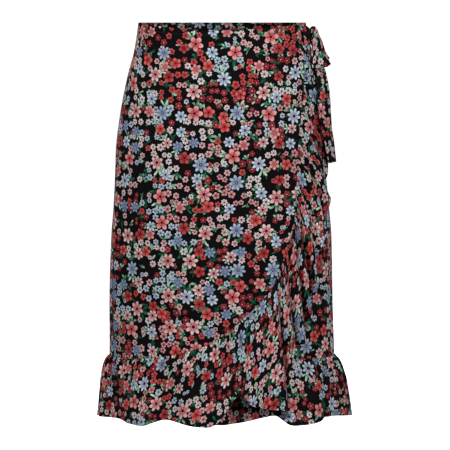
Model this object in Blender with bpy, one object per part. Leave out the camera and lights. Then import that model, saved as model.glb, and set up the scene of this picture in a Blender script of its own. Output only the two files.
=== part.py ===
"""Wrap skirt, hollow and filled out as when it is worn.

The skirt is three panels (a back and two fronts that cross), gathered ruffles along the hems and up the
outer front's edge, and a tie knotted in a bow at the wearer's left hip.

Every panel and ruffle is placed on one form by three numbers: turn, the degrees round it from centre front
towards the wearer's left; drop, the millimetres below the back waist edge; and out, the millimetres off the
form. The origin is the middle of the waist at that edge, +X is the wearer's left, -Y the front, +Z up.
"""

import math

import bmesh
import bpy
import numpy as np

MM = 0.001
WALL = 1.2  # thickness of every cloth wall
SEAM_GAP = 0.35  # between two pieces that are sewn together
LAYER_GAP = 2.6  # least distance between the middles of two layers that lie on each other

SIDE_TRIM = 0.09  # degrees taken off a piece at a side seam, half of the gap there
SEAM_DROP = 512.0  # where the panels end and the hem ruffles begin, at the sides
SEAM_RISE = 6.0  # how much higher that seam is at centre front
WAIST_DIP = 12.0  # how far the front waist edge lies below the back one
SQUARE = 0.08  # how far the form's sections fill out past an ellipse
OVERLAP_OUT = 3.0  # the outer front over the inner one
OVERLAP_MEETS = (-90.0, -62.0)  # turns between which it rises from the side seam to that distance
UNDERLAP_END = -50.0  # turn of the inner front's free edge
PUCKER = 1.6  # height of the small gathers below a ruffle's seam
PUCKER_AT = 0.16  # how far down the ruffle they are highest, as a share of its depth
GATHER_SPACING = 27.0


def table(columns, *rows):
    """A dict of arrays, one for each named column."""
    return dict(zip(columns.split(), np.array(rows, float).T))


# The form: half widths to the wearer's right and left, and depths to the front and back.
FORM = table(
    "drop right left front back",
    (0, 128.5, 129.0, 90, 98),
    (39, 134.5, 135.5, 97, 108),
    (76, 144.0, 143.0, 105, 119),
    (113, 152.0, 149.0, 112, 128),
    (150, 158.5, 152.0, 117, 134),
    (197, 164.0, 156.2, 122, 138),
    (230, 165.0, 160.2, 125, 140),
    (281, 167.5, 165.6, 128, 141),
    (336, 171.5, 170.0, 132, 142),
    (430, 174.0, 172.0, 136, 143),
    (512, 173.5, 175.0, 139, 144),
)

# The soft waves of the hanging cloth: how many in a round, their height at the seam, where they start.
DRAPE = table(
    "waves height phase",
    (5, 1.8, 40),
    (8, 1.1, 150),
    (11, 0.7, 95),
)

# How a ruffle comes out from its seam: the share of its hem's distance, by the share of its depth.
FLARE = table(
    "depth share",
    (0.0, 0.0),
    (0.1, 0.23),
    (0.2, 0.41),
    (0.4, 0.66),
    (0.7, 0.86),
    (1.0, 1.0),
)

# Ruffles have a row for each fold: even rows are ridges and odd rows are valleys. stand is the mean
# distance off the form at the free edge, swing is what a ridge adds to it and a valley takes away.
BACK_RUFFLE = table(
    "turn edge_drop stand swing",
    (90, 610, 23.5, 6),
    (108, 600, 14, 7),
    (124, 606, 15, 8),
    (141, 599, 14, 8),
    (160, 607, 16, 9),
    (176, 600, 14, 8),
    (193, 606, 16, 8),
    (212, 599, 15, 8),
    (230, 606, 15, 8),
    (250, 600, 13, 7),
    (270, 609, 14, 7),
)
UNDERLAP_RUFFLE = table(
    "turn edge_drop stand swing",
    (-50, 599, -6, 1),
    (-28, 594, -12, 1),
    (0, 607.5, -16, 1.5),
    (27.2, 594.5, -6, 3),
    (31.2, 606, 8, 7),
    (38, 608.5, 17, 3),
    (46, 606, 17, 4),
    (57, 600.5, 15, 7),
    (90, 610, 23.5, 6),
)
# This one runs from the waist down the front edge, round the corner and along the hem, so each fold has its
# own place on the seam and on the free edge. fall is how many rows a fold has dropped by at the free edge.
OVERLAP_RUFFLE = table(
    "seam_turn seam_drop edge_turn edge_drop stand swing fall",
    (62.0, 3, 70, 9, 3.3, 0.1, 0.0),
    (61.7, 30, 80, 62, 4.5, 0.8, 1.0),
    (59.5, 62, 84, 108, 6, 2, 2.0),
    (55.0, 95, 82, 150, 6.5, 2.5, 2.5),
    (50.5, 130, 78, 190, 6.5, 3, 2.5),
    (47.0, 163, 73.5, 226, 6.8, 2.5, 2.5),
    (44.3, 196, 69, 262, 7.0, 2.5, 2.3),
    (42.5, 226, 62, 300, 10, 6, 2.0),
    (41.2, 250, 54, 340, 10.5, 6, 1.6),
    (40.3, 272, 49.5, 385, 10.5, 6, 1.2),
    (39.0, 292, 46.5, 425, 11, 6, 0.8),
    (37.2, 310, 43.8, 462, 11, 6, 0.4),
    (35.0, 328, 40.5, 484, 12, 6, 0.1),
    (32.3, 346, 36, 488, 12, 6, 0.0),
    (29.6, 364, 32.5, 508, 13, 6, 0.0),
    (26.9, 382, 30.0, 545, 14, 6, 0.0),
    (24.3, 398, 29.3, 583, 15, 5, 0.0),
    (18.5, 420, 21, 581, 15, 2, 0.0),
    (11.5, 440, 13.5, 574, 15, 5, 0.0),
    (5.0, 458, 7.8, 558, 14, -3, 0.0),
    (-6.0, 483, -6.5, 606, 16, 8, 0.0),
    (-23.0, 500, -25.8, 598, 16, 8, 0.0),
    (-38.0, 507, -38.8, 608, 16, 8, 0.0),
    (-60.0, 511, -60.5, 604, 14, 7, 0.0),
    (-90.0, 512, -90.0, 609, 14, 7, 0.0),
)
# The seam of that ruffle is divided evenly into stations, counted from the waist. Its two strips are joined
# at one of them, and the outer front's rounded corner has its middle at another.
STATIONS = 108
RUFFLE_JOIN = 55
CORNER = 60
PANEL_STEP = 3  # stations to a column or level of the outer front

# The bow, in millimetres from its knot: forward, outward and down.
KNOT = dict(turn=84.0, drop=21.0, out=8.0)
KNOT_SECTIONS = table(
    "down width depth",
    (-14, 10, 5),
    (-12.5, 15, 9),
    (-6, 18, 12),
    (2, 18, 12),
    (9, 17, 11),
    (13, 14, 9),
    (14.5, 9, 5),
)
# A loop hangs from the knot: a band by its upper and lower long edges, down the front run and back up.
LOOP = table(
    "upper_forward upper_outward upper_down lower_forward lower_outward lower_down",
    (9.7, 0.8, -9, 9.7, 0.8, 8),
    (15, 4, -14, 17, 0, 13),
    (19, 8, -7, 27, 0, 27),
    (18, 10.5, 9, 33, 1, 40),
    (15, 17, 27, 35, 3, 49),
    (12, 27, 41, 31, 7, 53),
    (3, 28.5, 44, 22, 12, 54),
    (2, 21, 29, 17, 12, 43),
    (4, 16, 12, 13, 11, 28),
    (7.5, 9, -2, 10.5, 7.5, 14),
    (9.7, 4.0, -8, 9.7, 3.5, 6),
)
LOOP_END = 9.7  # how far forward a loop starts and ends, beside the knot
BACK_LOOP_SIZE = 0.82  # of the front one
# The two long edges of each tail and strap, as places on the form.
FRONT_TAIL = table(
    "drop near_turn near_out far_turn far_out",
    (36.5, 80.5, 7.5, 87.2, 7.5),
    (50, 79, 8.3, 88, 12),
    (66, 75.5, 7.7, 86.5, 14.5),
    (82, 70, 9.6, 82, 17.5),
    (100, 65.8, 11.3, 80, 18.5),
    (125, 63.2, 11.5, 79, 19),
    (161, 65.5, 12, 79.5, 18.8),
    (187, 68.5, 13, 82, 19.7),
    (216.5, 70.5, 13, 84, 18.6),
)
BACK_TAIL = table(
    "drop near_turn near_out far_turn far_out",
    (36.5, 88.4, 7.0, 94.5, 4.6),
    (52, 92, 3.6, 101, 3.0),
    (76, 95, 2.8, 107, 2.6),
    (110, 97, 3, 109, 3),
    (150, 98, 4, 110, 3.5),
    (188, 98.5, 4.5, 111, 3.5),
)
FRONT_STRAP = table(
    "turn top_drop bottom_drop out",
    (62.6, 4.5, 35.5, 5.3),
    (65, 5.3, 35, 6.0),
    (69, 6.5, 35, 6.2),
    (74, 9, 35, 6.0),
    (79.3, 12, 39.5, 4.9),
)
BACK_STRAP = table(
    "turn top_drop bottom_drop out",
    (89.2, 13, 30, 5.0),
    (94, 8.5, 33, 3.8),
    (100, 6, 35, 2.8),
    (107, 5, 35, 2.2),
)

FINISHES = {
    "printed_cloth": (0.085, 0.055, 0.062),
    "printed_cloth_ruffle": (0.10, 0.05, 0.058),
    "printed_cloth_tie": (0.12, 0.05, 0.055),
}


def curve(at, knots, values):
    """Smooth curve through the knots: a cubic between each two.

    Its slope at a knot is the harmonic mean of the slopes on either side, and zero at a peak, so it never
    goes past the values it is given.
    """
    rise = np.diff(values) / np.diff(knots)
    before = np.append(rise[0], rise)
    after = np.append(rise, rise[-1])
    goes_on = before * after > 0
    slope = np.where(goes_on, 2 * before * after / np.where(goes_on, before + after, 1), 0)
    at = np.clip(at, knots[0], knots[-1])
    k = np.clip(np.searchsorted(knots, at, side="right") - 1, 0, len(knots) - 2)
    width = knots[k + 1] - knots[k]
    f = (at - knots[k]) / width
    start = (1 + 2 * f) * (1 - f) ** 2 * values[k] + f * (1 - f) ** 2 * width * slope[k]
    end = f**2 * (3 - 2 * f) * values[k + 1] + f**2 * (f - 1) * width * slope[k + 1]
    return start + end


def column(rows, name, at):
    """A ruffle's column at any place between its rows."""
    return curve(at, np.arange(len(rows[name]), dtype=float), rows[name])


def ease(share):
    """0 to 1 with a level start and end."""
    share = np.clip(share, 0, 1)
    return share * share * (3 - 2 * share)


def form_size(name, drop):
    return curve(drop, FORM["drop"], FORM[name])


def form(turn, drop):
    """Points of the form.

    A section is x = half width * sin * (1 + SQUARE * cos^2), y = -depth * cos * (1 + SQUARE * sin^2), with
    the drape's waves added along the radius, growing with the square of the drop.
    """
    turn, drop = np.broadcast_arrays(np.asarray(turn, float), np.asarray(drop, float))
    angle = np.radians(turn)
    across, ahead = np.sin(angle), np.cos(angle)
    side = np.where(across < 0, form_size("right", drop), form_size("left", drop))
    depth = np.where(ahead > 0, form_size("front", drop), form_size("back", drop))
    wave = sum(
        height * np.cos(waves * angle + math.radians(phase))
        for waves, height, phase in zip(DRAPE["waves"], DRAPE["height"], DRAPE["phase"])
    )
    wave = wave * np.clip(drop / SEAM_DROP, 0, 1) ** 2
    x = across * (side * (1 + SQUARE * ahead**2) + wave)
    y = -ahead * (depth * (1 + SQUARE * across**2) + wave)
    return np.stack((x, y, -drop), axis=-1)


def unit(vectors):
    return vectors / np.linalg.norm(vectors, axis=-1, keepdims=True)


def form_normal(turn, drop):
    """Outward normals of the form: the cross product of its slopes down and round."""
    round_it = form(turn + 0.5, drop) - form(turn - 0.5, drop)
    down_it = form(turn, drop + 1.0) - form(turn, drop - 1.0)
    return unit(np.cross(down_it, round_it))


def off_form(turn, drop, out):
    """Points out mm off the form, along its normal."""
    return form(turn, drop) + form_normal(turn, drop) * np.asarray(out, float)[..., None]


def waist_drop(turn):
    """The waist edge: level at the back, dipping at the front with the square of the cosine."""
    ahead = np.cos(np.radians(turn))
    return np.where(ahead > 0, WAIST_DIP * ahead**2, 0.0)


def seam_drop(turn):
    """The hem ruffle's seam on the back and on the inner front, a little higher at centre front."""
    ahead = np.cos(np.radians(turn))
    return SEAM_DROP - np.where(ahead > 0, SEAM_RISE * ahead**2, 0.0)


def overlap_out(turn):
    start, end = OVERLAP_MEETS
    return OVERLAP_OUT * ease((turn - start) / (end - start))


def fold(row):
    """A ruffle's wave, +1 at even rows and -1 at odd ones, with broad ridges and narrow valleys."""
    wave = np.cos(math.pi * row)
    return wave + 0.3 * (1 - wave**2)


def puckers(length, depth):
    """Small gathers that rise just below the seam and fade towards the free edge."""
    fade = depth / PUCKER_AT * np.exp(1 - depth / PUCKER_AT)
    return PUCKER * fade * np.sin(2 * math.pi * length / GATHER_SPACING)


def hem_ruffle_out(rows, turn, drop):
    """How far a hem ruffle hangs off the form at a turn and drop."""
    row = np.interp(turn, rows["turn"], np.arange(len(rows["turn"])))
    top = seam_drop(turn)
    depth = np.clip((drop - top) / (column(rows, "edge_drop", row) - top), 0, 1)
    edge_out = column(rows, "stand", row) + column(rows, "swing", row) * fold(row)
    length = np.radians(turn) * FORM["left"][-1]
    return curve(depth, FLARE["depth"], FLARE["share"]) * edge_out + puckers(length, depth)


def normals(grid):
    return unit(np.cross(np.gradient(grid, axis=1), np.gradient(grid, axis=0)))


def sewn_normals(grid, turn, drop):
    """A ruffle's normals, which at its seam are those of the panel that it is sewn to."""
    found = normals(grid)
    panel = form_normal(turn, drop)[:, 0]
    found[:, 0] = panel * np.sign((panel * found[:, 0]).sum(axis=-1, keepdims=True))
    return found


def hem_ruffle(rows, start, end, columns, levels):
    """Grid of a ruffle on a level hem, straight down from its seam."""
    turn = np.linspace(start, end, columns + 1)[:, None]
    row = np.interp(turn, rows["turn"], np.arange(len(rows["turn"])))
    top = seam_drop(turn) + SEAM_GAP
    depth = np.linspace(0, 1, levels + 1)[None, :] ** 1.25
    drop = top + depth * (column(rows, "edge_drop", row) - top)
    grid = off_form(turn + 0 * drop, drop, hem_ruffle_out(rows, turn, drop))
    return grid, sewn_normals(grid, turn + 0 * drop, drop)


def overlap_seam(row):
    return column(OVERLAP_RUFFLE, "seam_turn", row), column(OVERLAP_RUFFLE, "seam_drop", row)


def seam_rows(stations):
    """Rows of the overlap's ruffle at these stations of its seam, and their lengths from the waist."""
    fine = np.linspace(0, len(OVERLAP_RUFFLE["fall"]) - 1, 1200)
    steps = np.linalg.norm(np.diff(form(*overlap_seam(fine)), axis=0), axis=1)
    length = np.concatenate(([0], np.cumsum(steps)))
    from_waist = stations / STATIONS * length[-1]
    return np.interp(from_waist, length, fine), from_waist


def overlap_ruffle(stations, levels):
    """Grid of the overlap's ruffle, with a column at each of the stations.

    Straight lines join the seam to the free edge. A fold at the free edge belongs to the seam's row less
    its fall. The cloth keeps clear of the inner front and its ruffle.
    """
    row, length = seam_rows(stations)
    row, length = row[:, None], length[:, None]
    depth = np.linspace(0, 1, levels + 1)[None, :] ** 1.15
    seam_turn, seam_at = overlap_seam(row)
    edge_turn = column(OVERLAP_RUFFLE, "edge_turn", row)
    edge_drop = column(OVERLAP_RUFFLE, "edge_drop", row)
    reach = np.linalg.norm(form(edge_turn, edge_drop) - form(seam_turn, seam_at), axis=-1)
    share = SEAM_GAP / reach + (1 - SEAM_GAP / reach) * depth
    turn = seam_turn + share * (edge_turn - seam_turn)
    drop = seam_at + share * (edge_drop - seam_at)
    waved = fold(row - column(OVERLAP_RUFFLE, "fall", row) * depth)
    edge_out = column(OVERLAP_RUFFLE, "stand", row) + column(OVERLAP_RUFFLE, "swing", row) * waved
    seam_out = overlap_out(seam_turn)
    flare = curve(depth, FLARE["depth"], FLARE["share"])
    out = seam_out + flare * (edge_out - seam_out) + puckers(length, depth)
    under = hem_ruffle_out(UNDERLAP_RUFFLE, turn, drop)
    clear_of_under = under + LAYER_GAP * ease((turn - OVERLAP_MEETS[0]) / 10)
    grid = off_form(turn, drop, np.maximum(out, clear_of_under))
    return grid, sewn_normals(grid, turn, drop)


def back_panel(columns, levels):
    turn = np.linspace(90 + SIDE_TRIM, 270 - SIDE_TRIM, columns + 1)[:, None]
    drop = seam_drop(turn) * np.linspace(0, 1, levels + 1)[None, :]
    return off_form(turn + 0 * drop, drop, 0 * drop)


def front_underlap(columns, levels):
    turn = np.linspace(UNDERLAP_END, 90 - SIDE_TRIM, columns + 1)[:, None]
    top = waist_drop(turn)
    drop = top + (seam_drop(turn) - top) * np.linspace(0, 1, levels + 1)[None, :]
    return off_form(turn + 0 * drop, drop, 0 * drop)


def front_overlap():
    """A patch between the waist, the side seam and the ruffle's seam, which bends round the corner.

    Each point is the mean of its two edge-to-edge lines, less the one through the four corners.
    """
    side = -90 + SIDE_TRIM
    front_row, _ = seam_rows(np.arange(0, CORNER + 1, PANEL_STEP))
    hem_row, _ = seam_rows(np.arange(STATIONS, CORNER - 1, -PANEL_STEP))
    front = np.stack(overlap_seam(front_row), axis=-1)[None, :]
    hem = np.stack(overlap_seam(hem_row), axis=-1)[:, None]
    hem[0, 0, 0] = side
    across = np.linspace(0, 1, len(hem_row))[:, None, None]
    down = np.linspace(0, 1, len(front_row))[None, :, None]
    waist_turn = side + across * (front[0, 0, 0] - side)
    waist = np.concatenate((waist_turn, waist_drop(waist_turn)), axis=-1)
    waist[-1, 0] = front[0, 0]
    side_seam = np.concatenate((side + 0 * down, hem[0, 0, 1] * down), axis=-1)
    corners = (1 - across) * ((1 - down) * waist[0, 0] + down * hem[0, 0])
    corners = corners + across * ((1 - down) * waist[-1, 0] + down * hem[-1, 0])
    patch = (1 - down) * waist + down * hem + (1 - across) * side_seam + across * front - corners
    turn, drop = patch[..., 0], patch[..., 1]
    return off_form(turn, drop, overlap_out(turn))


def band(near, far, across, cup):
    """Grid between two long edges, bulging by cup mm in the middle of its width."""
    share = np.linspace(0, 1, across + 1)[None, :, None]
    grid = near[:, None] * (1 - share) + far[:, None] * share
    return grid - normals(grid) * cup * np.sin(math.pi * share)


def along(rows, name, pieces):
    return column(rows, name, np.linspace(0, len(rows[name]) - 1, pieces + 1))


def tail(rows, pieces):
    drop = along(rows, "drop", pieces)
    near = off_form(along(rows, "near_turn", pieces), drop, along(rows, "near_out", pieces))
    far = off_form(along(rows, "far_turn", pieces), drop, along(rows, "far_out", pieces))
    return band(near, far, 3, 1.5)


def strap(rows, pieces):
    turn = along(rows, "turn", pieces)
    out = along(rows, "out", pieces)
    top = off_form(turn, along(rows, "top_drop", pieces), out)
    bottom = off_form(turn, along(rows, "bottom_drop", pieces), out)
    return band(top, bottom, 3, -1.0)


def bow_frame():
    """The knot's place, and the forward, outward and downward directions there."""
    turn, drop = np.array(KNOT["turn"]), np.array(KNOT["drop"])
    place = off_form(turn, drop, KNOT["out"])
    forward = unit(form(turn - 1, drop) - form(turn + 1, drop))
    outward = unit(np.cross(forward, (0.0, 0.0, 1.0)))
    return place, forward, outward * np.sign(outward[0]), np.array((0.0, 0.0, -1.0))


def loop(pieces, way, size):
    """A loop of the bow, way 1 towards the front and -1 towards the back; size leaves its ends in place."""
    place, forward, outward, downward = bow_frame()
    edges = []
    for edge in ("upper", "lower"):
        names = (f"{edge}_{part}" for part in ("forward", "outward", "down"))
        ahead, out, down = (along(LOOP, name, pieces)[:, None] for name in names)
        ahead = way * (LOOP_END + (ahead - LOOP_END) * size)
        edges.append(place + ahead * forward + size**0.5 * out * outward + size * down * downward)
    return band(*edges, 4, 0.0)


def add_finish(name):
    finish = bpy.data.materials.new(name)
    finish.use_nodes = True
    shader = finish.node_tree.nodes["Principled BSDF"]
    shader.inputs["Base Color"].default_value = (*FINISHES[name], 1)
    shader.inputs["Roughness"].default_value = 0.85
    shader.inputs["Metallic"].default_value = 0.0
    return finish


def add_object(name, points, faces, finish):
    mesh = bpy.data.meshes.new(name)
    mesh.from_pydata((points * MM).tolist(), [], faces)
    mesh.materials.append(finish)
    made = bmesh.new()
    made.from_mesh(mesh)
    bmesh.ops.recalc_face_normals(made, faces=made.faces)
    made.to_mesh(mesh)
    made.free()
    mesh.shade_smooth()
    mesh.set_sharp_from_angle(angle=math.radians(50))
    piece = bpy.data.objects.new(name, mesh)
    bpy.context.scene.collection.objects.link(piece)
    return piece


def add_cloth(name, grid, finish, normal=None):
    """A closed wall of cloth: the grid moved half its thickness to each side, joined round the rim.

    Each of its quads is split along the shorter diagonal, the same one on both sides.
    """
    normal = normals(grid) if normal is None else normal
    count, levels = grid.shape[:2]
    points = np.stack((grid + normal * WALL / 2, grid - normal * WALL / 2)).reshape(-1, 3)
    index = np.arange(count * levels).reshape(count, levels)
    quads = np.stack((index[:-1, :-1], index[:-1, 1:], index[1:, 1:], index[1:, :-1]), axis=-1)
    quads = quads.reshape(-1, 4)
    ends = grid.reshape(-1, 3)[quads]
    first, second = (np.linalg.norm(ends[:, k] - ends[:, k + 2], axis=-1) for k in (0, 1))
    quads = np.where((first < second)[:, None], quads, np.roll(quads, -1, axis=1))
    front = np.concatenate((quads[:, [0, 1, 2]], quads[:, [0, 2, 3]]))
    rim = np.concatenate((index[:-1, 0], index[-1, :-1], index[:0:-1, -1], index[0, :0:-1]))
    after = np.roll(rim, -1)
    sides = np.stack((rim, after, after + index.size, rim + index.size), axis=1)
    faces = front.tolist() + (front[:, ::-1] + index.size).tolist() + sides.tolist()
    add_object(name, points, faces, finish)


def add_knot(finish, sides=12):
    """The knot: ovals one under another, with flat ends."""
    place, forward, outward, downward = bow_frame()
    angle = np.linspace(0, 2 * math.pi, sides, endpoint=False)[None, :, None]
    width = KNOT_SECTIONS["width"][:, None, None] / 2
    depth = KNOT_SECTIONS["depth"][:, None, None] / 2
    down = KNOT_SECTIONS["down"][:, None, None]
    rings = place + width * np.cos(angle) * forward + depth * np.sin(angle) * outward + down * downward
    count = len(rings)
    faces = [
        (r * sides + k, r * sides + (k + 1) % sides, (r + 1) * sides + (k + 1) % sides, (r + 1) * sides + k)
        for r in range(count - 1)
        for k in range(sides)
    ]
    faces.append(tuple(range(sides)))
    faces.append(tuple(range((count - 1) * sides, count * sides)))
    add_object("tie_knot", rings.reshape(-1, 3), faces, finish)


def main():
    for old in list(bpy.data.objects):
        bpy.data.objects.remove(old, do_unlink=True)
    cloth, ruffle, tie = (add_finish(name) for name in FINISHES)
    add_cloth("back_panel", back_panel(24, 12), cloth)
    add_cloth("front_underlap", front_underlap(20, 12), cloth)
    add_cloth("front_overlap", front_overlap(), cloth)

    back_start, back_end = 90 + SIDE_TRIM, 270 - SIDE_TRIM
    inner_start, inner_end = UNDERLAP_RUFFLE["turn"][0], 90 - SIDE_TRIM
    for name, rows, start, end, columns in (
        ("back_hem_ruffle", BACK_RUFFLE, back_start, back_end, 80),
        ("underlap_hem_ruffle", UNDERLAP_RUFFLE, inner_start, inner_end, 60),
    ):
        grid, normal = hem_ruffle(rows, start, end, columns, 6)
        add_cloth(name, grid, ruffle, normal)

    before_join = np.append(np.arange(RUFFLE_JOIN), RUFFLE_JOIN - 0.02)
    after_join = np.append(RUFFLE_JOIN + 0.02, np.arange(RUFFLE_JOIN + 1, STATIONS + 1))
    grid, normal = overlap_ruffle(np.append(before_join, after_join), 8)
    cut = len(before_join)
    normal[cut - 1 : cut + 1] = unit(normal[cut - 1] + normal[cut])
    add_cloth("overlap_edge_ruffle", grid[:cut], ruffle, normal[:cut])
    add_cloth("overlap_hem_ruffle", grid[cut:], ruffle, normal[cut:])

    add_cloth("tie_front_strap", strap(FRONT_STRAP, 6), tie)
    add_cloth("tie_back_strap", strap(BACK_STRAP, 5), tie)
    add_knot(tie)
    add_cloth("tie_front_loop", loop(20, 1, 1.0), tie)
    add_cloth("tie_back_loop", loop(20, -1, BACK_LOOP_SIZE), tie)
    add_cloth("tie_front_tail", tail(FRONT_TAIL, 10), tie)
    add_cloth("tie_back_tail", tail(BACK_TAIL, 9), tie)


main()
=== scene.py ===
"""Looks of the wrap skirt: every panel, ruffle and part of the tie as thin printed cloth.

The cloth is placed on the same form as the solids, by turn (degrees round it from centre front
towards the wearer's left), drop (millimetres below the back waist edge) and out (millimetres off
the form). Lengths are in millimetres until a mesh is made.
"""

import math

import bpy
import numpy as np
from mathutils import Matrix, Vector


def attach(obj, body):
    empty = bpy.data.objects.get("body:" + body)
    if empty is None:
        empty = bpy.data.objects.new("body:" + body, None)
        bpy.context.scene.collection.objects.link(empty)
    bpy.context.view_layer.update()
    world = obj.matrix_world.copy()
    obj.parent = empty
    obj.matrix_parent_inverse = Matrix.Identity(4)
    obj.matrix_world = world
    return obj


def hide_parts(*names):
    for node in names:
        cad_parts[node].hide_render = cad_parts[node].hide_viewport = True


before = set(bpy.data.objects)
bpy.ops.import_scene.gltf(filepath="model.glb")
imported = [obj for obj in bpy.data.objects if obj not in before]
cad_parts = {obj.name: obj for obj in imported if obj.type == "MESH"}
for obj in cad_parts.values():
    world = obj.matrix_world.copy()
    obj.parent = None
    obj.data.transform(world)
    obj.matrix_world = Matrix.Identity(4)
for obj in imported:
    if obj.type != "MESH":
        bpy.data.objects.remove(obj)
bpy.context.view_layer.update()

MM = 0.001

# Sizes that the solids share
SEAM_GAP = 0.35  # between two pieces that are sewn together
SIDE_TRIM = 0.09  # half that gap at a side seam, in degrees
SEAM_DROP = 512.0  # drop of the hem seam at the back
SEAM_RISE = 6.0  # how much higher it is at centre front
WAIST_DIP = 12.0  # how much lower the waist edge is at centre front
SQUARE = 0.08  # how far the form's corners are squared out
OVERLAP_OUT = 3.0  # how far the outer front lies off the form
OVERLAP_MEETS = (-90.0, -62.0)  # the turns over which it comes off the form
UNDERLAP_END = -50.0  # turn of the inner front's free edge
PUCKER = 1.6  # height of the puckers below a gathered seam
PUCKER_AT = 0.16  # the depth at which they are highest
GATHER_SPACING = 27.0  # from pucker to pucker
STATIONS = 108  # even steps along the outer front's seam
RUFFLE_JOIN = 55  # the station where its two ruffles meet
CORNER = 60  # the station of its rounded corner

# Sewing
CLOTH = 0.5  # thickness of one layer
HEM_WIDTH = 8.0
WAIST_WIDTH = 10.0  # how deep the waist edge is turned
HEM_EXTRA = 0.55  # what the turned layers of a hem add to the thickness
HEM_STEP = (0.6, 0.9)  # how far past the hem's width that ends, and over what length
NO_EDGE = 1000.0  # distance from the edge, on cloth that has none turned
ALLOWANCE = 8.0  # seam allowance, inside
ALLOWANCE_ROWS = (ALLOWANCE, 3.0, 0.6)  # its rows, measured up from the seam
ALLOWANCE_TURNS = (2.8, 1.2, 0.35)  # its columns past a side seam, in degrees
TUCK = 1.8  # how far inside the form that allowance lies
TUCK_STEP = (2.4, 2.6)  # how far below the seam that ends, and over what length
ROLL = 0.9  # how far a sewn edge rolls in
ROLL_LENGTH = 1.6
JOIN_STATIONS = (0.9, 0.4, 0.12)  # how far one ruffle of the outer front passes behind the other
JOIN_TUCK = 1.3
UNDER_GAP = 1.9  # least distance between the outer ruffle and the inner one
GATHER_RATIO = 1.22  # cloth in a ruffle to the length of its seam
HEM_GATHERS = 1.25  # depth of the back's and the inner front's gathers, to the table's
EDGE_GATHERS = 1.5  # and of the outer front's
GATHER_STRENGTH = (0.75, 0.45)  # of one gather: the mean, and its change along the seam
GATHER_BEND = (0.6, 19.0)  # how far its line bends on the way down, and over what length
GATHER_RISE = 2.2  # how soon below the seam it rises
UNEVEN = ((5.0, 41.0, 0.0), (3.2, 17.3, 1.1))  # stretch of a seam's length: much, over, start
EDGE_START = (25.0, 80.0)  # where the gathers start below the waist, and over what length
RIPPLE_LENGTH = 160.0  # length from the waist over which the ripples grow
LEAST_REACH = 22.0  # of the outer front's ruffle, for its allowance
PULL = 0.32  # height of the puckers that a gathered seam pulls into its panel
PULL_REACH = 13.0
DEGREE = 2.9  # millimetres in a degree of turn, near a side seam
STATION = 8.9  # millimetres from station to station
SIDE_CALM = 16.0  # distance from a side seam at which gathers have their full depth
CREASE_START = (6, 40)  # how far below the waist creases start, and over what length
PANEL_CLOTH = 1.012  # cloth down a panel to its drop
RUFFLE_CLOTH = 1.03  # and down a hem ruffle
ROW_POWER = 1.1  # draws a ruffle's rows closer together towards its seam


def table(columns, *rows):
    """A dict of arrays, one for each named column."""
    return dict(zip(columns.split(), np.array(rows, float).T))


# The form under the cloth: its half widths to the wearer's right and left and its depths to the
# front and the back, by drop.
FORM = table(
    "drop right left front back",
    (0, 128.5, 129.0, 90, 98),
    (39, 134.5, 135.5, 97, 108),
    (76, 144.0, 143.0, 105, 119),
    (113, 152.0, 149.0, 112, 128),
    (150, 158.5, 152.0, 117, 134),
    (197, 164.0, 156.2, 122, 138),
    (230, 165.0, 160.2, 125, 140),
    (281, 167.5, 165.6, 128, 141),
    (336, 171.5, 170.0, 132, 142),
    (430, 174.0, 172.0, 136, 143),
    (512, 173.5, 175.0, 139, 144),
)
# Waves of the hanging cloth round the form: how many, how high, and where they start, in degrees.
DRAPE = table(
    "waves height phase",
    (5, 1.8, 40),
    (8, 1.1, 150),
    (11, 0.7, 95),
)
# How far a ruffle stands off at each depth, as a share of its free edge.
FLARE = table(
    "depth share",
    (0.0, 0.0),
    (0.1, 0.23),
    (0.2, 0.41),
    (0.4, 0.66),
    (0.7, 0.86),
    (1.0, 1.0),
)
# A ruffle has a row for each fold, ridges and valleys by turns: the turn and drop of its free edge
# there, how far that stands off the form, and how far it swings out and in.
BACK_RUFFLE = table(
    "turn edge_drop stand swing",
    (90, 610, 23.5, 6),
    (108, 600, 14, 7),
    (124, 606, 15, 8),
    (141, 599, 14, 8),
    (160, 607, 16, 9),
    (176, 600, 14, 8),
    (193, 606, 16, 8),
    (212, 599, 15, 8),
    (230, 606, 15, 8),
    (250, 600, 13, 7),
    (270, 609, 14, 7),
)
UNDERLAP_RUFFLE = table(
    "turn edge_drop stand swing",
    (-50, 599, -6, 1),
    (-28, 594, -12, 1),
    (0, 607.5, -16, 1.5),
    (27.2, 594.5, -6, 3),
    (31.2, 606, 8, 7),
    (38, 608.5, 17, 3),
    (46, 606, 17, 4),
    (57, 600.5, 15, 7),
    (90, 610, 23.5, 6),
)
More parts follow.
